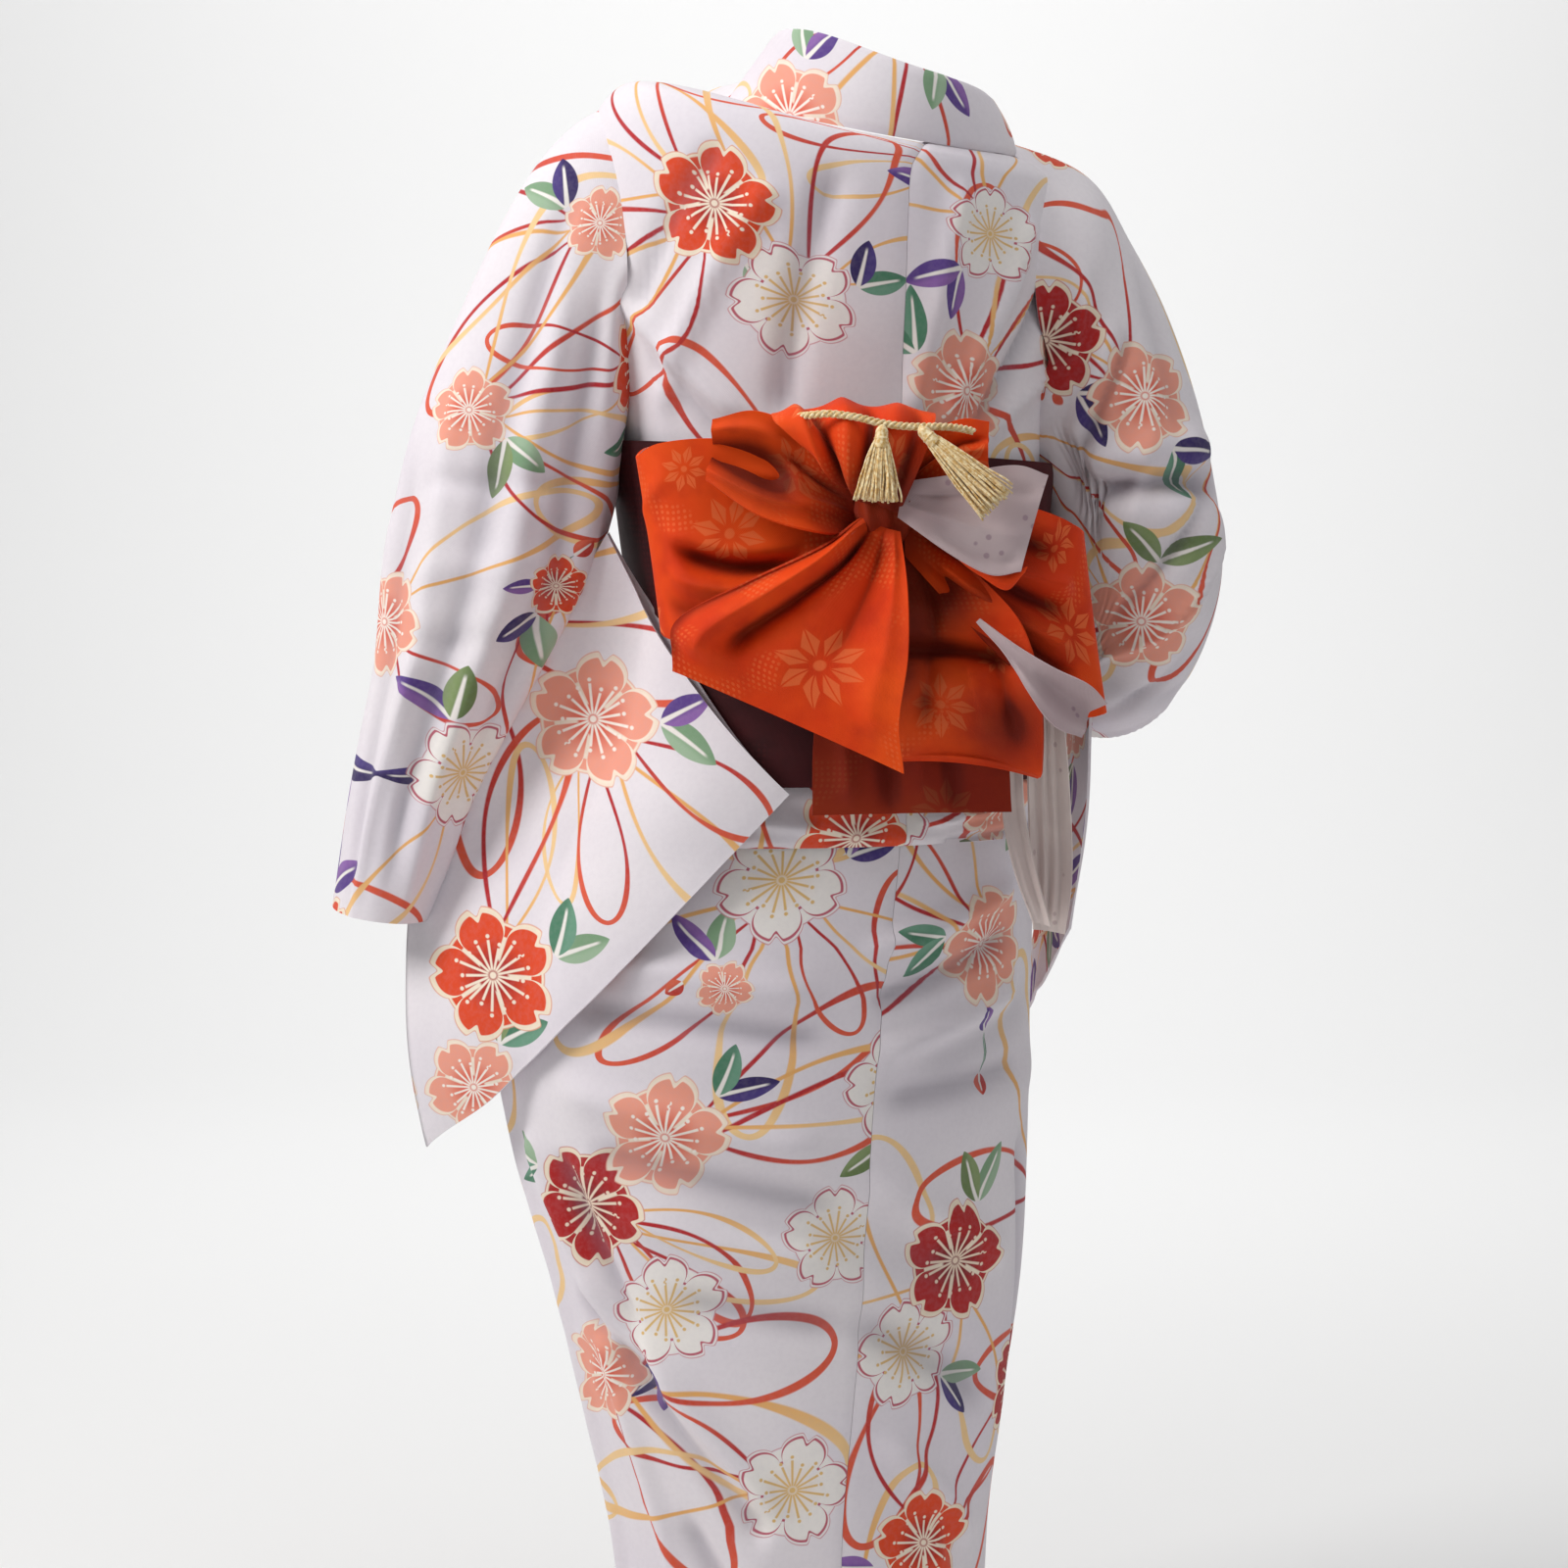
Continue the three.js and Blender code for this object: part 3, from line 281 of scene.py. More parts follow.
def leafGroup():
    t, (s, d, code), target = motifGroup("leaf")
    kind = calc(t, "FLOOR", code)
    edge = times(t, times(t, larger(t, s, 0), larger(t, minus(t, 1, s), 0)), 4.0)
    edge = times(t, calc(t, "POWER", edge, 0.8), minus(t, 1.1, times(t, s, 0.3)))
    away = absolute(t, d)
    body = soft(t, minus(t, edge, away), 0.0, 0.07)
    vein = times(t, soft(t, plus(t, away, times(t, s, 0.12)), 0.24, 0.12), soft(t, s, 0.86, 0.74))
    paint = mixed(t, soft(t, d, -0.2, 0.5),
                  choose(t, kind, ["7D9F7C", "6C8150", "4A7F63", "5A3F8A", "33265C", "C23A2C"]),
                  choose(t, kind, ["9DB89A", "869A66", "6B9B82", "8C63A9", "4A3A7E", "E2694A"]))
    paint = mixed(t, vein, paint, colour("F0EBE6"))
    feed(t, target.inputs["Colour"], paint)
    feed(t, target.inputs["Cover"], times(t, body, soft(t, code, 0.4, 0.6)))
    return t


printLayers = [  # from the cloth upwards
    ("loopC", "loop"), ("loopB", "loop"), ("loopA", "loop"), ("loopD", "loop"),
    ("leafB", "leaf"), ("leafA", "leaf"), ("bloomB", "bloom"), ("bloomA", "bloom"),
]
motifGroups = {"loop": loopGroup(), "leaf": leafGroup(), "bloom": blossomGroup()}


def weaveBump(tree, shader, fine, deep, wrinkle=0.0):
    # plain weave from two crossed sets of threads on the flat cloth, over a faint unevenness
    flat = tree.nodes.new("ShaderNodeUVMap")
    flat.uv_map = "flat"
    split = tree.nodes.new("ShaderNodeSeparateXYZ")
    tree.links.new(flat.outputs[0], split.inputs[0])
    threads = [calc(tree, "SINE", times(tree, split.outputs[i], 2 * math.pi / fine)) for i in (0, 1)]
    weave = times(tree, threads[0], threads[1])
    uneven = noiseOn(tree, objectPlace(tree), 28, 3)
    crumple = noiseOn(tree, objectPlace(tree), 9, 3, 0.45)
    height = plus(tree, times(tree, weave, 0.22), times(tree, uneven, 1.2 + wrinkle))
    height = plus(tree, height, times(tree, crumple, 5.0))
    bump = tree.nodes.new("ShaderNodeBump")
    bump.inputs["Strength"].default_value = deep
    bump.inputs["Distance"].default_value = 0.0012
    tree.links.new(height, bump.inputs["Height"])
    tree.links.new(bump.outputs[0], shader.inputs["Normal"])
    return weave, uneven


def printedCotton():
    material, tree, shader = newMaterial("printedCotton")
    weave, _ = weaveBump(tree, shader, 0.0011, 0.35)
    where = objectPlace(tree)
    paint = mixed(tree, soft(tree, noiseOn(tree, where, 5, 3), 0.3, 0.7), colour("E4DDE5"), colour("ECE6EA"))
    for name, kind in printLayers:
        node = tree.nodes.new("ShaderNodeGroup")
        node.node_tree = motifGroups[kind]
        tree.links.new(attribute(tree, name), node.inputs["Place"])
        paint = mixed(tree, node.outputs["Cover"], paint, node.outputs["Colour"])
    mottled = noiseOn(tree, where, 260, 2)
    paint = mixed(tree, times(tree, soft(tree, mottled, 0.35, 0.7), 0.06), paint, colour("B9AEBB"))
    # painted shade in the low places of the weave
    paint = mixed(tree, times(tree, soft(tree, weave, 0.0, -0.9), 0.05), paint, colour("8E8794"))
    # painted shade in the folds and creases, from each panel's shade amounts, over cloth and print alike
    paint = mixed(tree, times(tree, valueOf(tree, "shade"), 0.4), paint, colour("6E6878"))
    tree.links.new(paint, shader.inputs["Base Color"])
    shader.inputs["Roughness"].default_value = 0.82
    shader.inputs["Sheen Weight"].default_value = 0.12
    shader.inputs["Specular IOR Level"].default_value = 0.25
    return material


def cottonInside():
    material, tree, shader = newMaterial("cottonInside")
    _, uneven = weaveBump(tree, shader, 0.0011, 0.35)
    paint = mixed(tree, soft(tree, uneven, 0.3, 0.7), colour("D9D0D8"), colour("E3DBE0"))
    tree.links.new(paint, shader.inputs["Base Color"])
    shader.inputs["Roughness"].default_value = 0.88
    return material


def wovenFlower(tree, place):
    # eight-petalled flower woven tone on tone
    split = tree.nodes.new("ShaderNodeSeparateXYZ")
    tree.links.new(place, split.inputs[0])
    x, y, code = split.outputs
    r = calc(tree, "SQRT", plus(tree, times(tree, x, x), times(tree, y, y)))
    theta = plus(tree, over(tree, calc(tree, "ARCTAN2", y, x), 2 * math.pi), 1)
    phi = absolute(tree, minus(tree, calc(tree, "FRACT", times(tree, theta, 8)), 0.5))
    along = absolute(tree, minus(tree, r, 0.62))
    petal = plus(tree, times(tree, along, 0.62), times(tree, phi, r))
    body = times(tree, soft(tree, petal, 0.27, 0.24), soft(tree, times(tree, phi, r), 0.012, 0.03))
    middle = soft(tree, r, 0.15, 0.11)
    return times(tree, larger(tree, body, middle), soft(tree, code, 0.4, 0.6))


def obiSilk(name, light, mid, dark, shadeColour, motif, dots):
    material, tree, shader = newMaterial(name)
    weave, _ = weaveBump(tree, shader, 0.0013, 0.5, 1.2)
    where = objectPlace(tree)
    paint = mixed(tree, soft(tree, noiseOn(tree, where, 9, 4, 0.6), 0.32, 0.68), colour(mid), colour(light))
    paint = mixed(tree, times(tree, soft(tree, noiseOn(tree, where, 30, 3), 0.45, 0.75), 0.35), paint,
                  colour(dark))
    flower = wovenFlower(tree, attribute(tree, "bloomA"))
    flat = tree.nodes.new("ShaderNodeUVMap")
    flat.uv_map = "flat"
    lattice = tree.nodes.new("ShaderNodeTexVoronoi")
    lattice.inputs["Scale"].default_value = 230
    lattice.inputs["Randomness"].default_value = 0.15
    tree.links.new(flat.outputs[0], lattice.inputs["Vector"])
    patch = soft(tree, noiseOn(tree, flat.outputs[0], 14, 1), 0.54, 0.6)
    spots = times(tree, soft(tree, lattice.outputs["Distance"], 0.34, 0.26), times(tree, patch, dots))
    paint = mixed(tree, larger(tree, times(tree, flower, 0.75), spots), paint, colour(motif))
    # painted shade in the low places of the weave
    paint = mixed(tree, times(tree, soft(tree, weave, 0.0, -0.9), 0.12), paint, colour(dark))
    # painted shade: toward the darkest colour in folds, round the knot and in listed hollows, from the
    # sheet's shade amounts
    paint = mixed(tree, times(tree, valueOf(tree, "shade"), 0.85), paint, colour(shadeColour))
    tree.links.new(paint, shader.inputs["Base Color"])
    shader.inputs["Roughness"].default_value = 0.58
    shader.inputs["Sheen Weight"].default_value = 0.02
    shader.inputs["Specular IOR Level"].default_value = 0.18
    return material


def paleCloth(name, base, shade, spotCode):
    material, tree, shader = newMaterial(name)
    weaveBump(tree, shader, 0.0013, 0.5, 0.8)
    where = objectPlace(tree)
    paint = mixed(tree, soft(tree, noiseOn(tree, where, 16, 3), 0.3, 0.7), colour(base), colour(shade))
    spots = tree.nodes.new("ShaderNodeTexVoronoi")
    spots.inputs["Scale"].default_value = 60
    tree.links.new(where, spots.inputs["Vector"])
    paint = mixed(tree, times(tree, soft(tree, spots.outputs["Distance"], 0.16, 0.1), 0.6), paint,
                  colour(spotCode))
    tree.links.new(paint, shader.inputs["Base Color"])
    shader.inputs["Roughness"].default_value = 0.75
    shader.inputs["Sheen Weight"].default_value = 0.1
    return material


def cordYarn():
    material, tree, shader = newMaterial("cordYarn")
    where = objectPlace(tree)
    strands = noiseOn(tree, where, 420, 2)
    paint = mixed(tree, soft(tree, strands, 0.3, 0.7), colour("D2A75A"), colour("F8E8BE"))
    paint = mixed(tree, times(tree, soft(tree, noiseOn(tree, where, 60, 2), 0.5, 0.75), 0.35), paint,
                  colour("C79A4E"))
    tree.links.new(paint, shader.inputs["Base Color"])
    shader.inputs["Roughness"].default_value = 0.6
    shader.inputs["Sheen Weight"].default_value = 0.3
    return material


cotton = printedCotton()
cottonBack = cottonInside()
obiFace = obiSilk("obiFace", "F25208", "E23A03", "A81A04", "470907", "F2733C", 0.5)
# the obi band round the body, coloured as the obi cloth looks in shadow: painted shade
obiShade = obiSilk("obiShade", "4A1016", "32090E", "1C0508", "120305", "5E1A1E", 0.3)
obiReverse = paleCloth("obiReverse", "C9B6B8", "B9A2A6", "8F7080")
tieCloth = paleCloth("tieCloth", "E8DAD4", "D3C2BE", "B39A9C")
yarn = cordYarn()
print("materials ready")


# Tables: rows with named columns, read along a smooth curve
def readTable(rows, key, column, at):
    # smooth curve through one column of a table whose rows are sorted by the key column
    at = np.asarray(at, float)
    keys = np.array([row[key] for row in rows], float)
    values = np.array([row[column] for row in rows], float)
    if keys[-1] < keys[0]:
        return readSorted(-keys, values, -at)
    return readSorted(keys, values, at)


def readSorted(keys, values, at):
    i = np.clip(np.searchsorted(keys, at, side="left") - 1, 0, len(keys) - 2)
    span = keys[i + 1] - keys[i]
    t = np.clip((at - keys[i]) / span, 0, 1)
    before, after = np.maximum(i - 1, 0), np.minimum(i + 2, len(keys) - 1)
    m1 = (values[i + 1] - values[before]) / (keys[i + 1] - keys[before]) * span
    m2 = (values[after] - values[i]) / (keys[after] - keys[i]) * span
    rise = 3 * t**2 - 2 * t**3
    return (1 - rise) * values[i] + (t**3 - 2 * t**2 + t) * m1 + rise * values[i + 1] + (t**3 - t**2) * m2


def table(names, rows):
    return [dict(zip(names.split(), row)) for row in rows]


def smooth(x, low, high):
    t = np.clip((np.asarray(x, float) - low) / (high - low), 0, 1)
    return t * t * (3 - 2 * t)


# Rings round the body, the part's own: middle, half width, half depths behind and in front, turn, angle of
# the back seam, then how far the left side lifts, the sides rise and the shoulders crown
rings = table("z side wide rear fore turn seam lean rise crown", [
    (-6, 2, 106, 86, 84, 16, -7, 8, 10, 0.9),
    (-10, 12, 136, 97, 90, 16, -7, 11, 19, 0.9),
    (-20, 24, 164, 105, 98, 16, -7, 11, 27, 0.7),
    (-48, 33, 180, 111, 105, 16, -8, 10, 18, 0.3),
    (-110, 36, 180, 114, 113, 16, -8, 7, 0, 0),
    (-200, 34, 162, 112, 119, 16, -7, 4, 0, 0),
    (-280, 29, 150, 111, 114, 16, -6, 1, 0, 0),
    (-360, 26, 146, 113, 109, 16, -6, 0, 0, 0),
    (-440, 32, 154, 121, 111, 17, -7, 0, 0, 0),
    (-520, 52, 182, 137, 122, 19, -9, 0, 0, 0),
    (-600, 72, 204, 149, 130, 21, -9, 0, 0, 0),
    (-680, 80, 211, 150, 134, 21, -8.5, 0, 0, 0),
    (-760, 74, 203, 144, 132, 20, -6.5, 0, 0, 0),
    (-863, 62, 185, 130, 126, 18, -4.5, 0, 0, 0),
    (-960, 57, 167, 119, 118, 17, -2, 0, 0, 0),
    (-1060, 54, 149, 109, 112, 16, 0, 0, 0, 0),
    (-1200, 50, 140, 106, 108, 15, 0, 0, 0, 0),
])

# Folds pressed into the skirt, from one angle and height to another, in millimetres deep and wide
skirtFolds = table("angle z toAngle toZ deep wide", [
    (52, -905, 6, -1190, 6, 34),
    (30, -800, -30, -850, -3, 30),
    (-20, -690, -62, -650, -4, 24),
    (-30, -745, -70, -700, 4, 26),
    (160, -560, 195, -1150, 5, 40),
    (130, -620, 172, -1100, -4, 36),
])

# Finer folds of the same kind, for the look alone
fineSkirtFolds = table("angle z toAngle toZ deep wide", [
    (82, -745, 64, -905, 3.6, 15),
    (70, -760, 52, -930, -3.2, 13),
    (74, -868, 24, -1046, -4.6, 15),
    (68, -850, 20, -1020, 3.0, 14),
    (8, -632, 50, -604, 2.8, 17),
    (5, -664, 60, -640, -3.0, 15),
    (6, -748, 62, -704, 3.4, 20),
    (3, -790, 55, -752, -3.0, 17),
    (5, -836, 50, -800, 2.8, 20),
    (2, -884, 40, -864, -2.8, 18),
    (-6, -598, -46, -560, 3.6, 13),
    (-8, -636, -48, -596, -3.6, 12),
    (-10, -676, -50, -640, 3.2, 14),
    (-12, -712, -54, -700, -3.0, 15),
    (-8, -780, -50, -846, 3.0, 18),
    (-4, -884, -46, -950, -3.2, 20),
    (-12, -980, -50, -1064, 3.0, 18),
    (48, -1040, 14, -1196, -3.2, 16),
    (70, -900, 44, -1190, 2.8, 15),
    (30, -1090, 2, -1196, 2.6, 15),
    (-30, -1060, -56, -1196, 2.8, 15),
    (-60, -760, -86, -1100, -2.6, 16),
    (100, -620, 84, -1100, 2.8, 16),
    (118, -640, 106, -1180, -3.0, 18),
    (140, -700, 176, -1190, 3.0, 14),
    (-120, -620, -100, -1150, 3.2, 16),
    (-138, -640, -128, -1180, -3.0, 18),
    (180, -600, 205, -1190, -3.0, 14),
])

# Creases on the bodice and its waist fold, laid the same way
bodiceFolds = table("angle z toAngle toZ deep wide", [
    (24, -56, 60, -205, 3.2, 12),
    (38, -40, 64, -140, -2.4, 11),
    (72, -120, 36, -212, 3.6, 13),
    (60, -176, 42, -222, -2.0, 10),
    (10, -36, 24, -205, -2.8, 14),
    (-44, -46, -18, -208, 3.8, 15),
    (-54, -86, -30, -214, -3.6, 12),
    (-22, -30, -10, -200, 2.6, 13),
    (-30, -216, -62, -150, 2.4, 9),
    (120, -60, 150, -230, 3.2, 14),
    (104, -90, 128, -230, -3.0, 13),
    (-120, -60, -150, -230, 3.2, 14),
    (-104, -90, -132, -230, -3.0, 13),
    (-14, -505, -60, -484, 3.6, 7),
    (-20, -520, -70, -512, -3.2, 6),
    (-36, -476, -80, -500, 3.0, 7),
    (34, -500, 2, -513, 2.2, 7),
    (80, -480, 130, -500, 2.6, 8),
])

arc = 2.9  # millimetres of cloth in one degree round the skirt
hollowDepth = 9  # a fold this deep is fully in shade


def foldOut(folds, angle, z, gain=1.0):
    out = np.zeros(np.broadcast(angle, z).shape)
    for fold in folds:
        runX = (fold["toAngle"] - fold["angle"]) * arc
        runZ = fold["toZ"] - fold["z"]
        x = (angle - fold["angle"]) * arc
        y = z - fold["z"]
        length = math.hypot(runX, runZ)
        along = (x * runX + y * runZ) / length
        across = (x * runZ - y * runX) / length / fold["wide"]
        ends = 1 - smooth(along, length - fold["wide"], length + fold["wide"])
        fade = smooth(along, -fold["wide"], fold["wide"]) * ends
        out = out + fold["deep"] * np.exp(-across * across * 2) * fade
    return out * gain


def bodyPlace(z, angle, out):
    ring = {column: readTable(rings, "z", column, z)
            for column in ("side", "wide", "rear", "fore", "turn", "lean", "rise", "crown")}
    a = np.radians(angle)
    s, c = np.sin(a), np.cos(a)
    depth = np.where(c > 0, ring["rear"], ring["fore"])
    across = (ring["wide"] + out) * s
    along = (depth + out) * c
    turn = np.radians(ring["turn"])
    side = ring["side"] + across * np.cos(turn) - along * np.sin(turn)
    back = across * np.sin(turn) + along * np.cos(turn)
    height = z + ring["rise"] * s * s + across * np.tan(np.radians(ring["lean"])) + out * ring["crown"]
    return side, back, height


def bodyPoint(z, angle, out):
    return place(*bodyPlace(z, angle, out))


# A sheet of cloth from a surface: outer face, inner face, rim, flat coordinates
def normalsOf(points):
    du = np.gradient(points, axis=1)
    dv = np.gradient(points, axis=0)
    n = np.cross(du, dv)
    return n / np.maximum(np.linalg.norm(n, axis=-1, keepdims=True), 1e-12)


def cumulative(points, axis):
    step = np.linalg.norm(np.diff(points, axis=axis), axis=-1)
    pad = [(0, 0), (0, 0)]
    pad[axis] = (1, 0)
    return np.cumsum(np.pad(step, pad), axis=axis)


def byRows(points, middle):
    x, y = cumulative(points, 1), cumulative(points, 0)
    start = int(round(middle * (points.shape[1] - 1)))
    return x - x[:, start:start + 1], np.broadcast_to(-y.mean(axis=1, keepdims=True), x.shape)


def byColumns(points, middle):
    # lengths down the columns kept true from the last row up
    du, dv = np.gradient(points, axis=1), np.gradient(points, axis=0)
    dv /= np.maximum(np.linalg.norm(dv, axis=-1, keepdims=True), 1e-9)
    across = np.linalg.norm(du - dv * np.sum(du * dv, -1, keepdims=True), axis=-1)
    x = np.cumsum(across, axis=1)
    start = int(round(middle * (points.shape[1] - 1)))
    y = cumulative(points, 0)
    return x - x[:, start:start + 1], y[-1:] - y


class Sheet:
    # one panel: its points, and the same points laid flat
    def __init__(self, name, points, thick, flip=False, middle=0.0, keep=None, flat=None):
        self.name, self.points, self.thick, self.keep = name, points, thick, keep
        self.normals = normalsOf(points) * (-1 if flip else 1)
        self.flip = flip
        x, y = flat if flat else byRows(points, middle)
        self.x, self.y = x / mm, y / mm
        self.motifs = []
        # how deep in painted shade each point is, from 0 to 1
        self.shade = None
        self.plain = None  # the uncreased surface of a bent sleeve

    def around(self, x, y, front):
        # flat places near (x, y), taken in the plane that touches the cloth there
        i, j = np.unravel_index(np.argmin((self.x - x)**2 + (self.y - y)**2), self.x.shape)
        i, j = min(max(i, 1), self.x.shape[0] - 2), min(max(j, 1), self.x.shape[1] - 2)
        p = self.plain / mm
        steps = np.array([p[i, j + 1] - p[i, j - 1], p[i + 1, j] - p[i - 1, j]])
        flatSteps = np.array([[g[i, j + 1] - g[i, j - 1], g[i + 1, j] - g[i - 1, j]]
                              for g in (self.x, self.y)]).T
        grow = np.linalg.solve(flatSteps + 1e-9 * np.eye(2), steps)
        normal = self.normals[i, j]
        upWay = grow[1] - normal * grow[1].dot(normal)
        upWay /= np.linalg.norm(upWay)
        sideWay = np.cross(upWay, normal)
        sideWay *= 1 if sideWay.dot(grow[0]) > 0 else -1
        d = p.reshape(-1, 3)[front] - p[i, j]
        a, b = d @ sideWay, d @ upWay
        stretch = np.linalg.norm(d, axis=-1) / np.maximum(np.hypot(a, b), 1e-6)
        stretch = np.minimum(stretch, 1.6)
        return x + a * stretch + (self.x[i, j] - x), y + b * stretch + (self.y[i, j] - y)

    def find(self, side, z):
        # the flat place of a point seen from behind
        c, s = math.cos(poseTurn), math.sin(poseTurn)
        p = self.points / mm
        across = p[..., 0] * c - p[..., 1] * s
        facing = self.normals[..., 0] * s + self.normals[..., 1] * c
        far = (across - side)**2 + (p[..., 2] - z)**2 + np.where(facing > 0.1, 0, 1e6)
        i, j = np.unravel_index(np.argmin(far), far.shape)
        return (float(self.x[i, j]), float(self.y[i, j])) if far[i, j] < 120**2 else None


def buildSheet(sheet, materials, layers=printLayers):
    rows, columns = sheet.points.shape[:2]
    outer = sheet.points
    inner = outer - sheet.normals * sheet.thick * mm
    verts = np.concatenate([outer.reshape(-1, 3), inner.reshape(-1, 3)])
    at = np.arange(rows * columns).reshape(rows, columns)
    keep = np.ones((rows - 1, columns - 1), bool) if sheet.keep is None else sheet.keep
    quads = np.stack([at[:-1, :-1], at[1:, :-1], at[1:, 1:], at[:-1, 1:]], -1)
    if not sheet.flip:
        quads = quads[..., ::-1]
    front = quads[keep]
    back = front[:, [0, 3, 2, 1]] + rows * columns  # split along the same corner as the front
    rim = []
    used = {(int(quad[k]), int(quad[(k + 1) % 4])): True for quad in front for k in range(4)}
    shift = rows * columns
    for a, b in used:
        if (b, a) not in used:
            rim.append((b, a, a + shift, b + shift))
    faces = [*front.tolist(), *back.tolist(), *rim]
    mesh = bpy.data.meshes.new(sheet.name)
    mesh.from_pydata(verts.tolist(), [], faces)
    for material in materials:
        mesh.materials.append(material)
    count = len(front)
    slots = np.zeros(len(faces), np.int32)
    slots[count:2 * count] = len(materials) - 1
    mesh.polygons.foreach_set("material_index", slots)
    mesh.polygons.foreach_set("use_smooth", np.ones(len(faces), bool))
    flat = np.stack([sheet.x.ravel(), sheet.y.ravel()], -1) * mm
    corners = np.zeros(len(mesh.loops), np.int32)
    mesh.loops.foreach_get("vertex_index", corners)
    if sheet.shade is not None:
        shade = mesh.attributes.new("shade", "FLOAT", "POINT")
        shade.data.foreach_set("value", np.tile(sheet.shade.ravel(), 2).astype(np.float32))
    uv = mesh.uv_layers.new(name="flat")
    uv.uv.foreach_set("vector", flat[corners % shift].astype(np.float32).ravel())
    paintMotifs(sheet, mesh, front, layers)
    ridge = mesh.attributes.new("sharp_edge", "BOOLEAN", "EDGE")
    rimSet = {frozenset(e) for f in rim for e in ((f[0], f[1]), (f[2], f[3]))}
    edges = np.zeros(len(mesh.edges) * 2, np.int32)
    mesh.edges.foreach_get("vertices", edges)
    ridge.data.foreach_set("value",
                           np.array([frozenset(e) in rimSet for e in edges.reshape(-1, 2).tolist()], bool))
    mesh.validate()
    obj = bpy.data.objects.new(sheet.name, mesh)
    bpy.context.scene.collection.objects.link(obj)
    # loose points of cells left out
    editable = bmesh.new()
    editable.from_mesh(mesh)
    bmesh.ops.delete(editable, geom=[v for v in editable.verts if not v.link_faces], context="VERTS")
    editable.to_mesh(mesh)
    editable.free()
    return obj


def inReach(sheet, about):
    return np.min((sheet.x - about[0])**2 + (sheet.y - about[1])**2) < 100


def paintMotifs(sheet, mesh, front, layers):
    # every motif claims the cells under it in the first free layer of its kind
    x, y = sheet.x.ravel(), sheet.y.ravel()
    cx, cy = x[front], y[front]
    total = len(mesh.loops)
    values = {name: np.tile(np.array([9.0, 9.0, 0.0], np.float32), (total, 1)) for name, _ in layers}
    taken = {name: np.zeros(len(front), bool) for name, _ in layers}
    middle = np.stack([cx.mean(1), cy.mean(1)], -1)
    slack = 7.0
    near = {}
    for motif in sheet.motifs:
        c, s = math.cos(motif["turn"]), math.sin(motif["turn"])
        px, py, spot = cx, cy, middle
        if sheet.plain is not None and "about" in motif and inReach(sheet, motif["about"]):
            if motif["about"] not in near:
                px, py = sheet.around(*motif["about"], front)
                far = np.hypot(middle[:, 0] - motif["about"][0], middle[:, 1] - motif["about"][1]) > 130
                near[motif["about"]] = np.where(far[:, None], 1e3, px), np.where(far[:, None], 1e3, py)
            px, py = near[motif["about"]]
            spot = np.stack([px.mean(1), py.mean(1)], -1)
        dx, dy = px - motif["x"], py - motif["y"]
        u, v = dx * c + dy * s, dy * c - dx * s
        mx, my = spot[:, 0] - motif["x"], spot[:, 1] - motif["y"]
        mu, mv = mx * c + my * s, my * c - mx * s
        if motif["kind"] == "bloom":
            local = np.stack([u / motif["size"], v / motif["size"], np.full_like(u, motif["code"])], -1)
            inside = np.hypot(mu, mv) < motif["size"] * 1.03 + slack
        else:
            bend = motif.get("bend", 0.0)
            length, wide = motif["size"], motif["wide"]
            v = v - bend * (u / length)**2
            mv = mv - bend * (mu / length)**2
            local = np.stack([u / length, v / wide, np.full_like(u, motif["code"])], -1)
            inside = (mu > -slack) & (mu < length + slack) & (np.abs(mv) < wide * 1.1 + slack)
        if not inside.any():
            continue
        for name in [n for n, kind in reversed(layers) if kind == motif["kind"]]:
            clash = (taken[name] & inside).sum()
            if clash <= 0.02 * inside.sum():
                use = inside & ~taken[name]
                taken[name] |= use
                index = np.flatnonzero(use)
                loops = (index[:, None] * 4 + np.arange(4)).ravel()
                values[name][loops] = local[index].reshape(-1, 3)
                break
    for name, _ in layers:
        data = mesh.attributes.new(name, "FLOAT_VECTOR", "CORNER")
        data.data.foreach_set("vector", values[name].ravel())


# The print, laid on flat cloth in millimetres
printLook = {
    "blossomScale": 1.13,
    "leafLength": (38, 52),
    "leafWidth": (9, 12),
    "leafBend": 5,
    "petalLength": (120, 225),
    "petalWidth": (0.145, 0.2),  # as a share of the length
    "petalBend": 44,
    "apart": 150,  # from one scattered blossom to the next
    "blossomRoom": 128,  # kept clear of scattered blossoms
    "budRoom": 70,
}


def addMotif(sheet, kind, x, y, size, **more):
    sheet.motifs.append({"kind": kind, "x": x, "y": y, "size": size, **more})


def between(rng, name):
    return rng.uniform(*printLook[name])


def eitherWay(rng, name):
    return rng.uniform(-printLook[name], printLook[name])


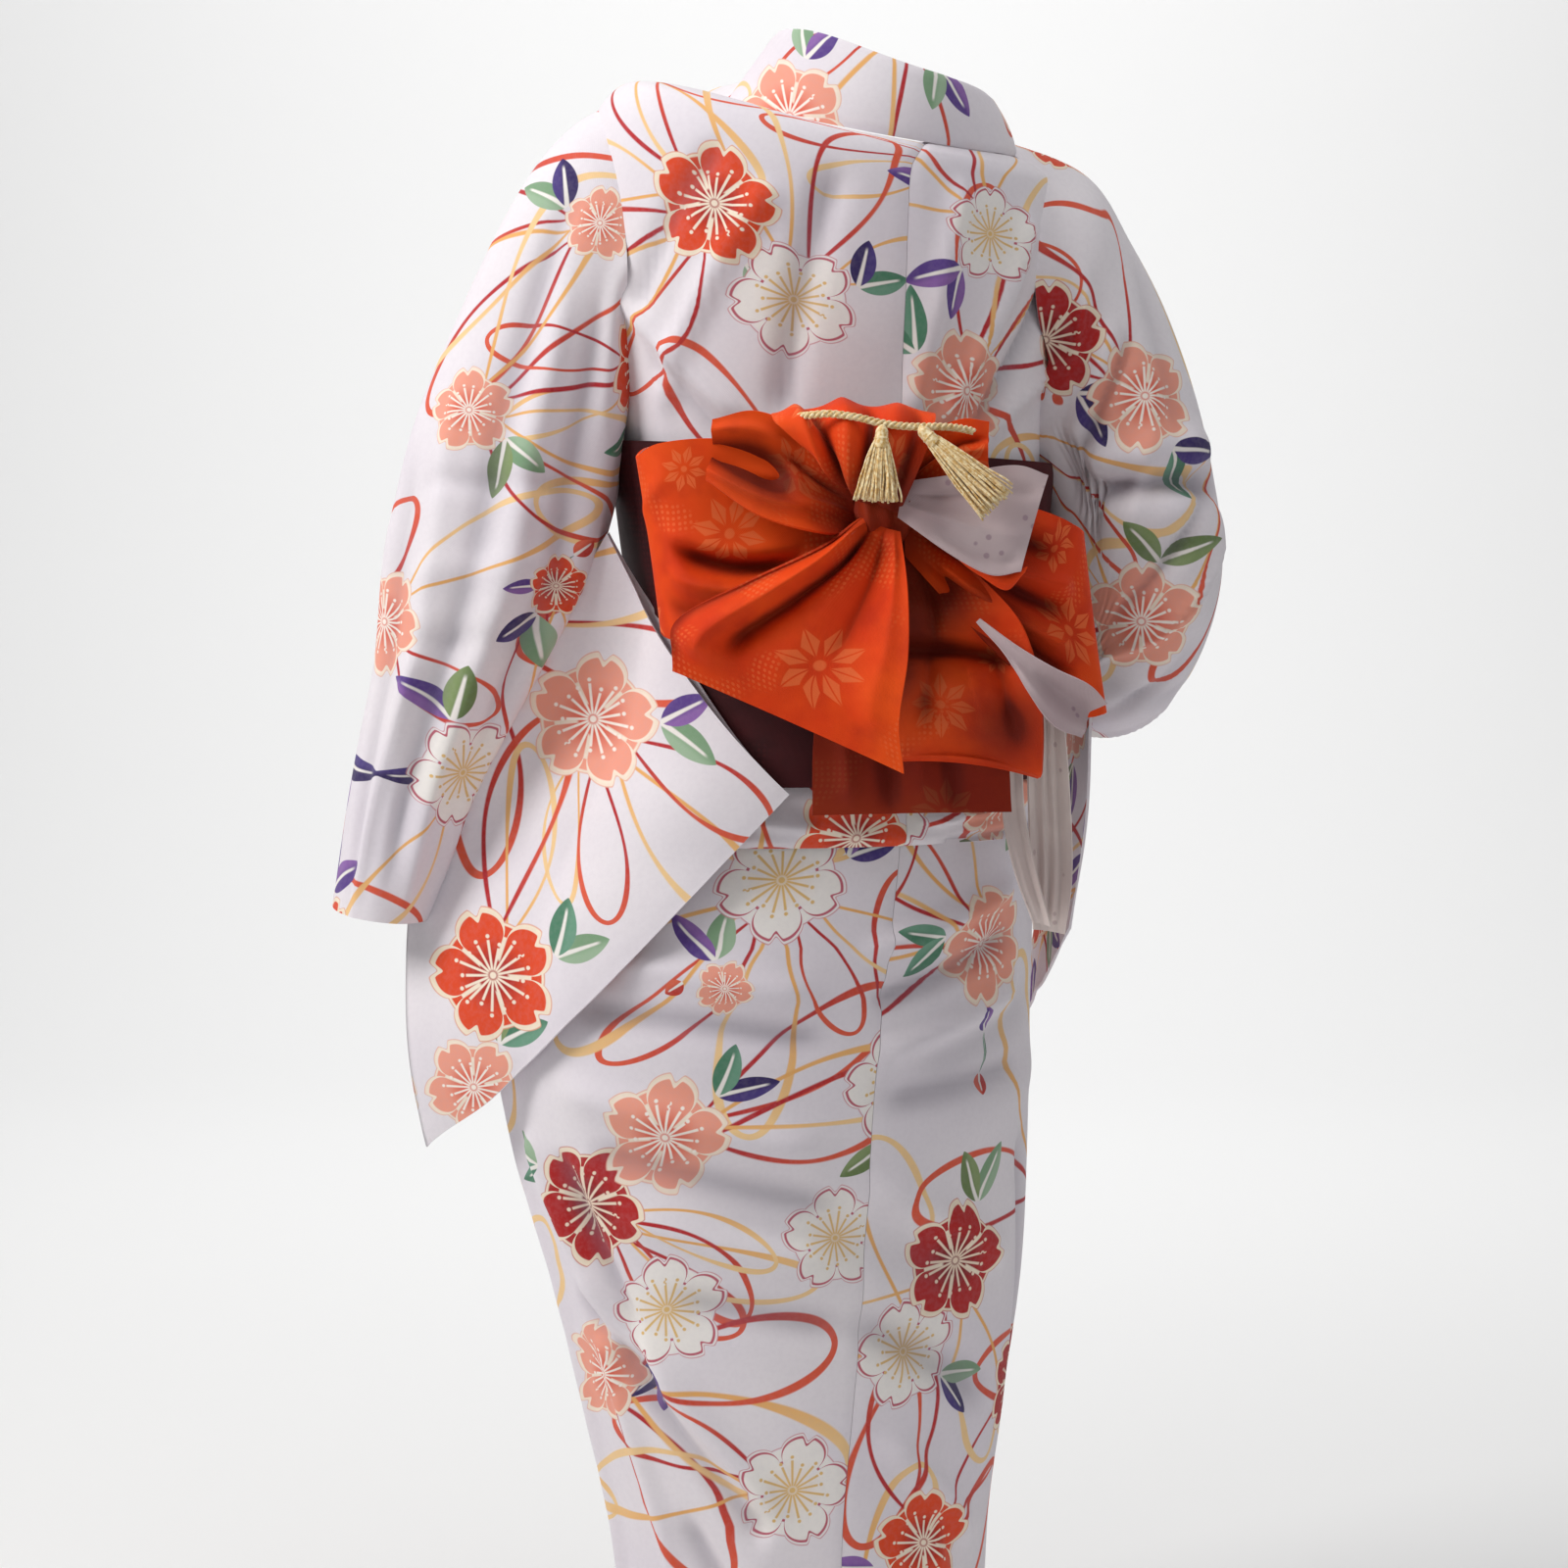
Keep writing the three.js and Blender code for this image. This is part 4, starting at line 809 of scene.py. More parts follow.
def addBlossom(sheet, rng, x, y, size, kind, leaf, way, spread, count):
    # kind is 1 orange, 2 deep red, 3 salmon or 4 white, leaf the side where the leaves lie, and way, spread
    # and count are those of the long petals that spring from the blossom
    size = size * printLook["blossomScale"]
    addMotif(sheet, "bloom", x, y, size, turn=rng.uniform(0, 6.28), code=kind + 0.2 + 0.6 * rng.random(),
             about=(x, y))
    leaves = rng.choice([2, 3, 3])
    base = math.radians(leaf)
    rootX, rootY = x + math.cos(base) * size * 1.0, y + math.sin(base) * size * 1.0
    tint = rng.choice([1, 2, 3, 4, 4, 5])
    for k in range(leaves):
        turn = base + (k - (leaves - 1) / 2) * rng.uniform(0.85, 1.1)
        code = [tint, rng.choice([1, 3, 4, 5]), rng.choice([2, 4])][k]
        addMotif(sheet, "leaf", rootX, rootY, between(rng, "leafLength"), wide=between(rng, "leafWidth"),
                 turn=turn, bend=eitherWay(rng, "leafBend"), code=code + 0.5, about=(x, y))
    for k in range(int(count)):
        share = (k + 0.5) / count - 0.5
        turn = math.radians(way + spread * share) + rng.uniform(-0.06, 0.06)
        length = between(rng, "petalLength") * (1 - 0.3 * abs(share))
        startX, startY = x + math.cos(turn) * size * 0.5, y + math.sin(turn) * size * 0.5
        addMotif(sheet, "loop", startX, startY, length, wide=length * between(rng, "petalWidth"), turn=turn,
                 bend=eitherWay(rng, "petalBend"), code=(1 if (k + kind) % 2 else 2) + 0.5)


def addBuds(sheet, rng, x, y, way):
    # a sprig: two buds on thin stalks over a fan of small leaves
    for turn, far in ((way - 14, 34), (way + 20, 28)):
        a = math.radians(turn)
        addMotif(sheet, "leaf", x, y, far, wide=1.6, turn=a, bend=0, code=3.5)
        addMotif(sheet, "leaf", x + math.cos(a) * far, y + math.sin(a) * far, 17, wide=7, turn=a, bend=0,
                 code=6.5)
    for k, turn in enumerate((way + 120, way + 165, way + 215, way + 70)):
        addMotif(sheet, "leaf", x, y, rng.uniform(24, 32), wide=6.5, turn=math.radians(turn), bend=3,
                 code=(4, 4, 1, 1)[k] + 0.5)


def scatterPrint(sheet, seed, clear=()):
    # the same print on cloth that the back view doesn't show
    rng = random.Random(seed)
    step = printLook["apart"]
    left, right = float(sheet.x.min()), float(sheet.x.max())
    bottom, top = float(sheet.y.min()), float(sheet.y.max())
    row = 0
    y = top - 60
    while y > bottom - 60:
        x = left - 40 + (row % 2) * step / 2
        while x < right + 60:
            px, py = x + rng.uniform(-26, 26), y + rng.uniform(-26, 26)
            if all(math.hypot(px - cx, py - cy) > far for cx, cy, far in clear):
                addBlossom(sheet, rng, px, py, rng.uniform(34, 45), rng.choice([1, 2, 3, 3, 4, 4]),
                           rng.uniform(0, 360), rng.uniform(0, 360), rng.uniform(80, 150),
                           rng.choice([3, 4, 5]))
            x += step
        y -= step * 0.8
        row += 1


# The garment's panels, sizes in millimetres
hem, skirtTop, foldEdge, neckZ = -1200, -400, -522, -6
cloth, obiCloth, collarCloth = 1.6, 2.2, 3.0
bodiceOut, overlapOut, obiOut, obiStep, obiWidth = 8, 4.4, 14.2, 3, 165
cell = 5.5  # size of one cell of the skirt's mesh
foldGain = 2.6  # how much deeper the fine folds are than their tables say
sheets = {}


def seamAt(z):
    return readTable(rings, "z", "seam", z)


def bodyCentre(z):
    return place(readTable(rings, "z", "side", z), 0, z)


def makeSheet(name, points, thick, centre, keep=None, middle=0.0, flat=None):
    # the outer face is the one that looks away from centre
    probe = normalsOf(points)
    flip = float(np.mean(np.sum(probe * (points - centre), -1))) < 0
    sheet = Sheet(name, points, thick, flip, middle, keep, flat)
    sheets[name] = sheet
    return sheet


def finishSheet(sheet, materials, nodes, layers=printLayers):
    obj = buildSheet(sheet, materials, layers)
    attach(obj, "root")
    if nodes:
        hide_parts(*nodes)
    return obj


skirtPanels = table("name start end out seed", [
    ("skirt_back_left", None, 97, 0, 11),
    ("skirt_back_right", -97, None, 0, 12),
    ("skirt_front_left", 97, 150, 0, 13),
    ("skirt_front_right", -150, -97, 0, 14),
    ("overlap_right", -206, -150, -overlapOut, 15),
    ("overlap_left", 150, 222, overlapOut, 16),
])


def skirtSheet(panel):
    z = np.linspace(skirtTop, hem, 144)[:, None]
    start = seamAt(z) if panel["start"] is None else np.full_like(z, panel["start"])
    end = seamAt(z) if panel["end"] is None else np.full_like(z, panel["end"])
    count = int((end - start).max() * 3.0 / cell) + 2
    gap = math.degrees(0.15 / 170)
    angle = start + gap + (end - start - 2 * gap) * np.linspace(0, 1, count)[None, :]
    turned = np.where(angle < -120, angle + 360, angle)
    out = foldOut(skirtFolds, turned, z) + foldOut(fineSkirtFolds, turned, z, foldGain)
    out = out + foldOut(fineSkirtFolds, np.where(angle < -110, angle, turned), z,
                        foldGain) * (angle < -110) * (angle > -150)
    # painted shade in the fold hollows
    hollowShade = np.clip(-out / hollowDepth, 0, 1)
    if panel["out"]:
        run = (angle - 150) if panel["out"] > 0 else (-150 - angle)
        out = out + panel["out"] * smooth(run, 0, 14)
    for edge, seam in ((start, panel["start"]), (end, panel["end"])):
        away = np.abs(angle - edge) * arc
        out = out - 1.0 * np.exp(-(away / 2.5)**2) * (1 if seam is None or abs(seam) != 150 else 0)
    out = out - 1.2 * np.exp(-((z - hem) / 3)**2)
    points = bodyPoint(z, angle, out)
    middle = 0.0 if panel["start"] is None else 1.0 if panel["end"] is None else 0.0
    sheet = makeSheet(panel["name"], points, cloth, bodyCentre(z), middle=middle)
    sheet.shade = hollowShade
    return sheet


bodiceSides = {
    "left": table("z armBack armFront edge", [
        (-6, 56, 86, 112), (-10, 62, 92, 135), (-20, 70, 98, 147), (-48, 80, 104, 157),
        (-110, 69, 112, 169), (-200, 66, 116, 190), (-280, 66, 116, 204), (-522, 66, 116, 222),
    ]),
    "right": table("z armBack armFront edge", [
        (-6, -50, -78, -112), (-10, -54, -90, -135), (-20, -60, -98, -147), (-48, -76, -104, -157),
        (-110, -62, -112, -170), (-200, -60, -114, -188), (-280, -56, -116, -200),
        (-522, -56, -116, -206),
    ]),
}
armTop, armBottom = -58, -186


def bodicePoints(side, z, share, extra=True):
    sign = 1 if side == "left" else -1
    edge = readTable(bodiceSides[side], "z", "edge", z)
    seam = seamAt(z)
    angle = seam + sign * math.degrees(0.15 / 160) + (edge - seam) * share
    out = bodiceOut + (overlapOut * smooth(angle, 128, 150) if side == "left" else 0)
    if extra:
        out = out + foldOut(bodiceFolds, angle, z, foldGain)
        out = out - 1.1 * np.exp(-((angle - seam) * 2.7 / 2.5)**2)  # the sewn centre seam
        out = out - 3.2 * smooth(-z, -foldEdge - 5, -foldEdge)**2  # rolled lower edge of the waist fold
        out = out + 1.6 * np.exp(-((z + 514) / 6)**2)
        out = out - 3.0 * smooth(share, 0.88, 0.98) * smooth(z, -150, -90)  # tucked under the collar
    return bodyPoint(z, angle, out), angle


def bodiceSheet(side):
    z = np.concatenate([np.linspace(-6, -20, 13), np.linspace(-22, -60, 12), np.linspace(-64, -500, 66),
                        np.linspace(-504, foldEdge, 8)])[:, None]
    share = np.linspace(0, 1, 76)[None, :]
    points, angle = bodicePoints(side, z, share)
    armRows = bodiceSides[side]
    back, front = (np.abs(readTable(armRows, "z", key, z)) for key in ("armBack", "armFront"))
    hole = (np.abs(angle) > back + 3) & (np.abs(angle) < front - 3) & (z < armTop - 6) & (z > armBottom + 6)
    keep = ~(hole[:-1, :-1] & hole[1:, 1:])
    plain, _ = bodicePoints(side, z, share, False)
    sheet = makeSheet("bodice_" + side, points, cloth, bodyCentre(z), keep=keep, flat=byRows(plain, 0.0))
    # painted shade in the creases
    sheet.shade = np.clip(-foldOut(bodiceFolds, angle, z, foldGain) / hollowDepth, 0, 1)
    return sheet


def bodySurface():
    # the dressed trunk as one closed-round surface, for where sleeves leave it
    z = np.concatenate([np.linspace(-6, -60, 22), np.linspace(-66, foldEdge, 60)])[:, None]
    angle = np.linspace(-180, 180, 121)[None, :]
    points = bodyPoint(z, angle, np.full(np.broadcast(z, angle).shape, bodiceOut + 0.4))
    rows, columns = points.shape[:2]
    at = np.arange(rows * columns).reshape(rows, columns)
    quads = np.stack([at[:-1, :-1], at[1:, :-1], at[1:, 1:], at[:-1, 1:]], -1).reshape(-1, 4)
    tree = BVHTree.FromPolygons(points.reshape(-1, 3).tolist(), quads.tolist())
    centre = bodyCentre(z)

    def outside(point):
        hit, normal, index, _ = tree.find_nearest(Vector(point))
        row = index // (columns - 1)
        outward = hit - Vector(centre[min(row, rows - 1), 0].tolist())
        if normal.dot(outward) < 0:
            normal = -normal
        return (Vector(point) - hit).dot(normal) > 0

    return outside


sleeveArms = {
    "left": table("side back z tip across deep", [
        (158, 36, -72, 90, 106, 56), (188, 41, -68, 80, 98, 56), (211, 45, -84, 64, 84, 56),
        (237, 50, -158, 38, 72, 56), (264, 58, -240, 22, 75, 56), (284, 64, -310, 18, 72, 55),
        (316, 64, -390, 18, 60, 52), (350, 58, -480, 17, 46, 48), (375, 50, -578, 8, 37, 46),
    ]),
    "right": table("side back z tip across deep", [
        (-98, -18, -88, 90, 98, 60), (-136, -26, -102, 108, 90, 62), (-152, -32, -138, 124, 85, 61),
        (-173, -36, -182, 142, 77, 60), (-203, -40, -245, 160, 62, 59), (-215, -46, -320, 176, 59, 60),
        (-207, -80, -378, 190, 52, 60), (-186, -140, -402, 185, 48, 54), (-162, -200, -396, 180, 44, 50),
    ]),
}
# creases on the arms: from one angle and share of the sleeve to another, deep in millimetres, wide in degrees
armFolds = {
    "left": table("angle at toAngle toAt deep wide", [
        (60, 2.0, 96, 7.6, -3.0, 9), (84, 2.6, 120, 7.8, 2.6, 8), (110, 2.4, 140, 6.4, -2.6, 9),
        (140, 3.0, 165, 7.8, 2.4, 10), (40, 3.6, 70, 6.8, 2.2, 8), (100, 1.0, 130, 3.4, 2.4, 8),
        (150, 1.4, 176, 3.8, -2.4, 9), (20, 4.4, 52, 7.8, -2.2, 8), (66, 5.8, 60, 7.9, 2.4, 7),
        (250, 2.4, 280, 7.6, 2.4, 12), (300, 2.6, 320, 7.2, -2.4, 12),
    ]),
    "right": table("angle at toAngle toAt deep wide", [
        (30, 4.3, 120, 5.2, -5.0, 9), (20, 4.8, 130, 5.7, 4.4, 9), (60, 3.2, 110, 4.6, 3.2, 9),
        (96, 2.0, 140, 4.0, -2.8, 9), (50, 5.6, 110, 6.4, -3.4, 10), (40, 6.4, 100, 6.9, 3.0, 9),
        (80, 1.2, 118, 3.0, 2.6, 8), (30, 2.2, 60, 4.2, -2.2, 8), (250, 2.4, 280, 7.0, 2.4, 12),
        (300, 2.6, 320, 7.2, -2.4, 12),
    ]),
}
# bends that run across the arm at the elbow
bendNames = "angle at toAngle toAt deep wide"
armBends = {
    "left": table(bendNames, [
        (40, 4.5, 120, 4.1, -3.5, 0.12), (50, 5.3, 130, 4.9, 3, 0.16), (60, 5.9, 140, 5.5, -3, 0.12),
    ]),
    "right": table(bendNames, [
        (16, 4.3, 134, 3.96, -15, 0.12), (20, 4.0, 130, 3.62, 8, 0.2), (20, 4.62, 130, 4.3, 6, 0.2),
        (64, 2.7, 136, 3.7, -7, 0.12), (70, 2.4, 126, 3.3, 4, 0.2), (30, 4.5, 120, 4.75, -4, 0.13),
        (40, 5.2, 130, 5.3, 3, 0.2), (30, 6.1, 120, 5.9, -4, 0.14),
    ]),
}
armGain = {"left": 2.1, "right": 1.8}
# the full part of each sleeve, against the bow and above the elbow
armFull = {
    "left": {"out": 14, "angle": 8, "wide": 34, "starts": (1.6, 3.2), "ends": (5.0, 6.4)},
    "right": {"out": 13, "angle": 176, "wide": 38, "starts": (3.0, 4.4), "ends": (5.2, 6.2)},
}


def armPoints(side, at, angle, folds=True):
    keyed = [{**row, "at": i} for i, row in enumerate(sleeveArms[side])]
    last = len(keyed) - 1

    def column(name, where):
        return readTable(keyed, "at", name, where)

    def centre(where):
        where = np.clip(where, 0, last)
        return np.stack([column("side", where), column("back", where), column("z", where)], -1)

    way = centre(at + 0.3) - centre(at - 0.3)
    way /= np.linalg.norm(way, axis=-1, keepdims=True)
    tip = np.radians(column("tip", at))
    tipWay = np.stack([np.cos(tip), np.zeros_like(tip), np.sin(tip)], -1)
    deepWay = np.cross(tipWay, way)
    deepWay /= np.linalg.norm(deepWay, axis=-1, keepdims=True)
    sign = np.where(deepWay[..., 1:2] - deepWay[..., 2:3] * 0.6 < 0, -1, 1)
    deepWay = deepWay * sign
    grow = np.zeros(np.broadcast(at, angle).shape)
    full = armFull[side]
    swell = full["out"] * np.exp(-((angle - full["angle"]) / full["wide"])**2)
    grow = grow + swell * smooth(at, *full["starts"]) * (1 - smooth(at, *full["ends"]))
    if folds:
        for fold in armFolds[side]:
            t = np.clip((at - fold["at"]) / (fold["toAt"] - fold["at"]), 0, 1)
            line = fold["angle"] + (fold["toAngle"] - fold["angle"]) * t
            fade = smooth(at, min(fold["at"], fold["toAt"]) - 0.4, fold["at"] + 0.5)
            fade = fade * (1 - smooth(at, fold["toAt"] - 0.5, fold["toAt"] + 0.4))
            grow = grow + armGain[side] * fold["deep"] * np.exp(-((angle - line) / fold["wide"])**2) * fade
        for fold in armBends[side]:
            t = (angle - fold["angle"]) / (fold["toAngle"] - fold["angle"])
            line = fold["at"] + (fold["toAt"] - fold["at"]) * t
            fade = smooth(t, -0.12, 0.12) * (1 - smooth(t, 0.85, 1.1))
            grow = grow + fold["deep"] * np.exp(-((at - line) / fold["wide"])**2) * fade
    a = np.radians(angle)
    c, s = np.cos(a)[..., None], np.sin(a)[..., None]
    across, deep = ((column(name, at) + grow)[..., None] for name in ("across", "deep"))
    p = centre(at) + tipWay * across * c + deepWay * deep * s
    return place(p[..., 0], p[..., 1], p[..., 2]), place(*np.moveaxis(centre(at), -1, 0))


def armSheet(side, outside):
    count = 84
    angles = np.linspace(-95, 265, count + 1)
    last = len(sleeveArms[side]) - 1
    starts = []
    for angle in angles:
        ats = np.linspace(0, 3.6, 91)
        points, _ = armPoints(side, ats, np.full_like(ats, angle), False)
        inner = [i for i, p in enumerate(points) if not outside(p)]
        starts.append(ats[min(inner[-1] + 1, 90)] if inner else 0.0)
    starts = np.array(starts)
    starts[-1] = starts[0]
    for _ in range(3):
        ring = starts[:-1]
        starts[:-1] = (np.roll(ring, 1) + 2 * ring + np.roll(ring, -1)) / 4
        starts[-1] = starts[0]
    starts = starts - 0.06
    share = np.linspace(0, 1, 150)[:, None]
    at = starts[None, :] + (last - starts[None, :]) * share
    angle = np.broadcast_to(angles[None, :], at.shape)
    points, centres = armPoints(side, at, angle)
    plain, _ = armPoints(side, at, angle, False)
    sheet = makeSheet("sleeve_arm_" + side, points, cloth, centres, flat=byColumns(plain, 0.5))
    # painted shade in the creases
    sheet.shade = np.clip(-np.sum((points - plain) * sheet.normals, -1) / mm / hollowDepth, 0, 1)
    sheet.plain = plain
    return sheet


bagCorners = {
    "left": {"innerTop": (200, 82, -290), "outerTop": (352, 54, -560), "innerBottom": (64, 0, -481),
             "outerBottom": (338, 0, -768)},
    "right": {"innerTop": (-172, -52, -385), "outerTop": (-162, -190, -395),
              "innerBottom": (-156, -34, -600), "outerBottom": (-122, -170, -700)},
}
bagHalf, bagRest = 7, 11


def dressedAt(z):
    # what a sleeve rests on: the belt, then the waist fold, then the skirt, eased from one to the next
    z = np.asarray(z, float)
    return 9 + 11 * smooth(-z, 190, 222) - 11.4 * smooth(-z, 470, 545) - 5 * smooth(-z, 540, 620)


def bodyBack(side, z):
    ring = {column: readTable(rings, "z", column, z) for column in ("side", "wide", "rear", "turn")}
    out = dressedAt(z)
    wide, deep = (ring["wide"] + out)**-2.0, (ring["rear"] + out)**-2.0
    s, c = np.sin(np.radians(ring["turn"])), np.cos(np.radians(ring["turn"]))
    a = c * c * wide + s * s * deep
    b = s * c * (wide - deep)
    d = s * s * wide + c * c * deep
    most = 0.88 * np.sqrt(d / (a * d - b * b))
    x = side - ring["side"]
    inner = np.minimum(x, most)
    depth = (np.sqrt(np.maximum(b * b * inner * inner - d * (a * inner * inner - 1), 0)) - b * inner) / d
    return depth - np.maximum(x - most, 0) * 0.6


def bagPlace(side, along, down):
    corners = {key: np.array(value, float) for key, value in bagCorners[side].items()}
    top = corners["innerTop"] + (corners["outerTop"] - corners["innerTop"]) * along[..., None]
    bottom = corners["innerBottom"] + (corners["outerBottom"] - corners["innerBottom"]) * along[..., None]
    p = top + (bottom - top) * down[..., None]
    corner = smooth(along, 0.8, 1) * smooth(down, 0.8, 1)
    bend = 4 * down * (1 - down)
    if side == "right":
        return np.stack([p[..., 0] - 6 * bend, p[..., 1] + 14 * corner, p[..., 2] + 12 * corner], -1)
    across = p[..., 0] + 10 * bend * along * along + 3 * corner
    z = p[..., 2] - 18 * bend * (1 - along)**2 + 10 * corner
    rest = bodyBack(across, z) + bagRest
    near = smooth(down, 0, 0.4)
    return np.stack([across, top[..., 1] * (1 - near) + rest * near, z], -1)


def bagSheet(side):
    # one cloth folded round the sewn outer edge, open at the inner one
    u = np.concatenate([np.linspace(0, 0.47, 40), np.linspace(0.478, 0.522, 7),
                        np.linspace(0.53, 1, 40)])[None, :]
    down = np.linspace(0, 1, 52)[:, None]
    down, u = np.broadcast_arrays(down, u)
    along = 1 - np.abs(2 * u - 1)
    face = np.where(u < 0.5, 1.0, -1.0)
    step = 0.04
    du = bagPlace(side, along + step, down) - bagPlace(side, along - step, down)
    dv = bagPlace(side, along, down + step) - bagPlace(side, along, down - step)
    n = np.cross(du, dv)
    n /= np.linalg.norm(n, axis=-1, keepdims=True)
    full = smooth(1 - down, 0, 0.3) * smooth(1 - along, 0, 0.3)
    half = 2.0 + (bagHalf - 2.0) * full
    half = half * np.sqrt(np.clip(1 - smooth(along, 0.93, 1.0)**2, 0, 1))
    if side == "right":
        half = half * (0.16 + 0.84 * smooth(along, 0.02, 0.3))
    half = half * (1 - 0.45 * smooth(down, 0.94, 1))
    if n[..., 1].mean() < 0:
        n = -n
    ripple = 1.3 * np.sin(along * 9 + down * 4) * np.sin(down * 5 + 1) * smooth(down, 0.1, 0.4)
    crease = 2.0 * np.exp(-((along - 0.35 - 0.25 * down) / 0.05)**2) * smooth(down, 0.2, 0.5)
    wave = ripple + crease
    p = bagPlace(side, along, down) + n * (half * face + wave)[..., None]
    points = place(p[..., 0], p[..., 1], p[..., 2])
    m = bagPlace(side, along, down) + n * wave[..., None]
    # flat: the rear face as seen, the other mirrored about the sewn outer edge
    level = 0 if side == "left" else 1
    flatX, flatY = p[..., level], p[..., 2]
    edgeTop, edgeEnd = (np.array([bagCorners[side][key][level], bagCorners[side][key][2]], float)
                        for key in ("outerTop", "outerBottom"))
    edgeWay = edgeEnd - edgeTop
    edgeWay /= np.linalg.norm(edgeWay)
    off = (flatX - edgeTop[0]) * edgeWay[1] - (flatY - edgeTop[1]) * edgeWay[0]
    fold = np.where(face < 0, 2 * off, 0)
    flat = ((flatX - fold * edgeWay[1]) * mm, (flatY + fold * edgeWay[0]) * mm)
    return makeSheet("sleeve_bag_" + side, points, 1.3, place(m[..., 0], m[..., 1], m[..., 2]), flat=flat)


collarRows = table("along angle z stand out wide inward", [
    (0, 214, -400, 0, 12, 52, 0),
    (0.12, 202, -280, 0, 15.5, 56, 0),
    (0.22, 188, -200, 0, 18, 56, 0),
    (0.33, 164, -105, 0, 18, 54, 0),
    (0.4, 149, -38, 0.1, 16, 48, 4),
    (0.44, 126, -9, 0.5, 11, 48, 20),
    (0.475, 96, neckZ, 0.9, 9, 54, 34),
    (0.53, 40, neckZ, 1, 9, 67, 22),
    (0.6, -10, neckZ, 1, 9, 54, 4),
    (0.66, -60, neckZ, 1, 9, 45, 18),
    (0.72, -98, neckZ, 0.9, 9, 48, 30),
    (0.75, -126, -9, 0.5, 11, 48, 16),
    (0.79, -149, -38, 0.1, 15, 48, 4),
    (0.85, -163, -105, 0, 14, 46, 0),
    (0.92, -176, -160, 0, 14, 34, 0),
    (1, -184, -195, 0, 14, 18, 0),
])


def collarSheet():
    along = np.linspace(0, 1, 200)
    row = {key: readTable(collarRows, "along", key, along) for key in collarRows[0]}

    def spot(key, out):
        return bodyPoint(key["z"], key["angle"], out) / mm

    seam = spot(row, row["out"])
    outward = spot(row, row["out"] + 4) - seam
    ahead, behind = ({key: readTable(collarRows, "along", key, np.clip(along + step, 0, 1))
                      for key in ("angle", "z")} for step in (0.01, -0.01))
    way = spot(ahead, row["out"]) - spot(behind, row["out"])
    way /= np.linalg.norm(way, axis=-1, keepdims=True)
    flat = np.cross(outward, way)
    flat /= np.linalg.norm(flat, axis=-1, keepdims=True)
    flat = np.where(flat[:, 2:3] < 0, -flat, flat)
    up = np.array([0, 0, 1.0])
    rise = flat + (up - flat) * row["stand"][:, None]
    rise /= np.linalg.norm(rise, axis=-1, keepdims=True)
    face = np.cross(way, rise)
    face /= np.linalg.norm(face, axis=-1, keepdims=True)
    level = seam * np.array([1, 1, 0])
    face = np.where(np.sum(face * level, -1, keepdims=True) < 0, -face, face)
    share = np.linspace(0, 1, 15)[None, :]
    bow = 3 * np.sin(np.pi * share) * row["stand"][:, None] - row["inward"][:, None] * share
    roll = -2.2 * smooth(share, 0.9, 1)**2 - 1.4 * smooth(share, 0.1, 0.0)**2
    ripple = 1.1 * np.sin(along[:, None] * 57 + share * 2) * share * (1 - share) * 3
    join = -1.6 * np.exp(-((along[:, None] - 0.615) / 0.003)**2)
    upward = rise[:, None] * (share * row["wide"][:, None])[..., None]
    outward = face[:, None] * (bow + roll + ripple + join)[..., None]
    points = seam[:, None] + upward + outward
    centre = seam - face * 60
    return makeSheet("collar", points * mm, collarCloth, (centre * mm)[:, None])


obiTurns = {"obi_turn_lower": (-477, obiOut), "obi_turn_upper": (-477 + obiWidth / 2, obiOut + obiStep)}


def obiSheet(name):
    bottom, out = obiTurns[name]
    z = np.linspace(bottom + obiWidth, bottom, 22)[:, None]
    angle = np.linspace(-180, 180, 160)[None, :]
    wave = 0.5 * np.sin(np.radians(angle) * 9 + z * 0.05) + 0.4 * np.sin(z * 0.11 + np.radians(angle) * 2)
    edge = -1.0 * np.exp(-((z - bottom) / 2.5)**2) - 1.0 * np.exp(-((z - bottom - obiWidth) / 2.5)**2)
    points = bodyPoint(z, angle, out + obiCloth + wave * 0.5 + edge)
    return makeSheet(name, points, obiCloth, bodyCentre(z), middle=0.5)


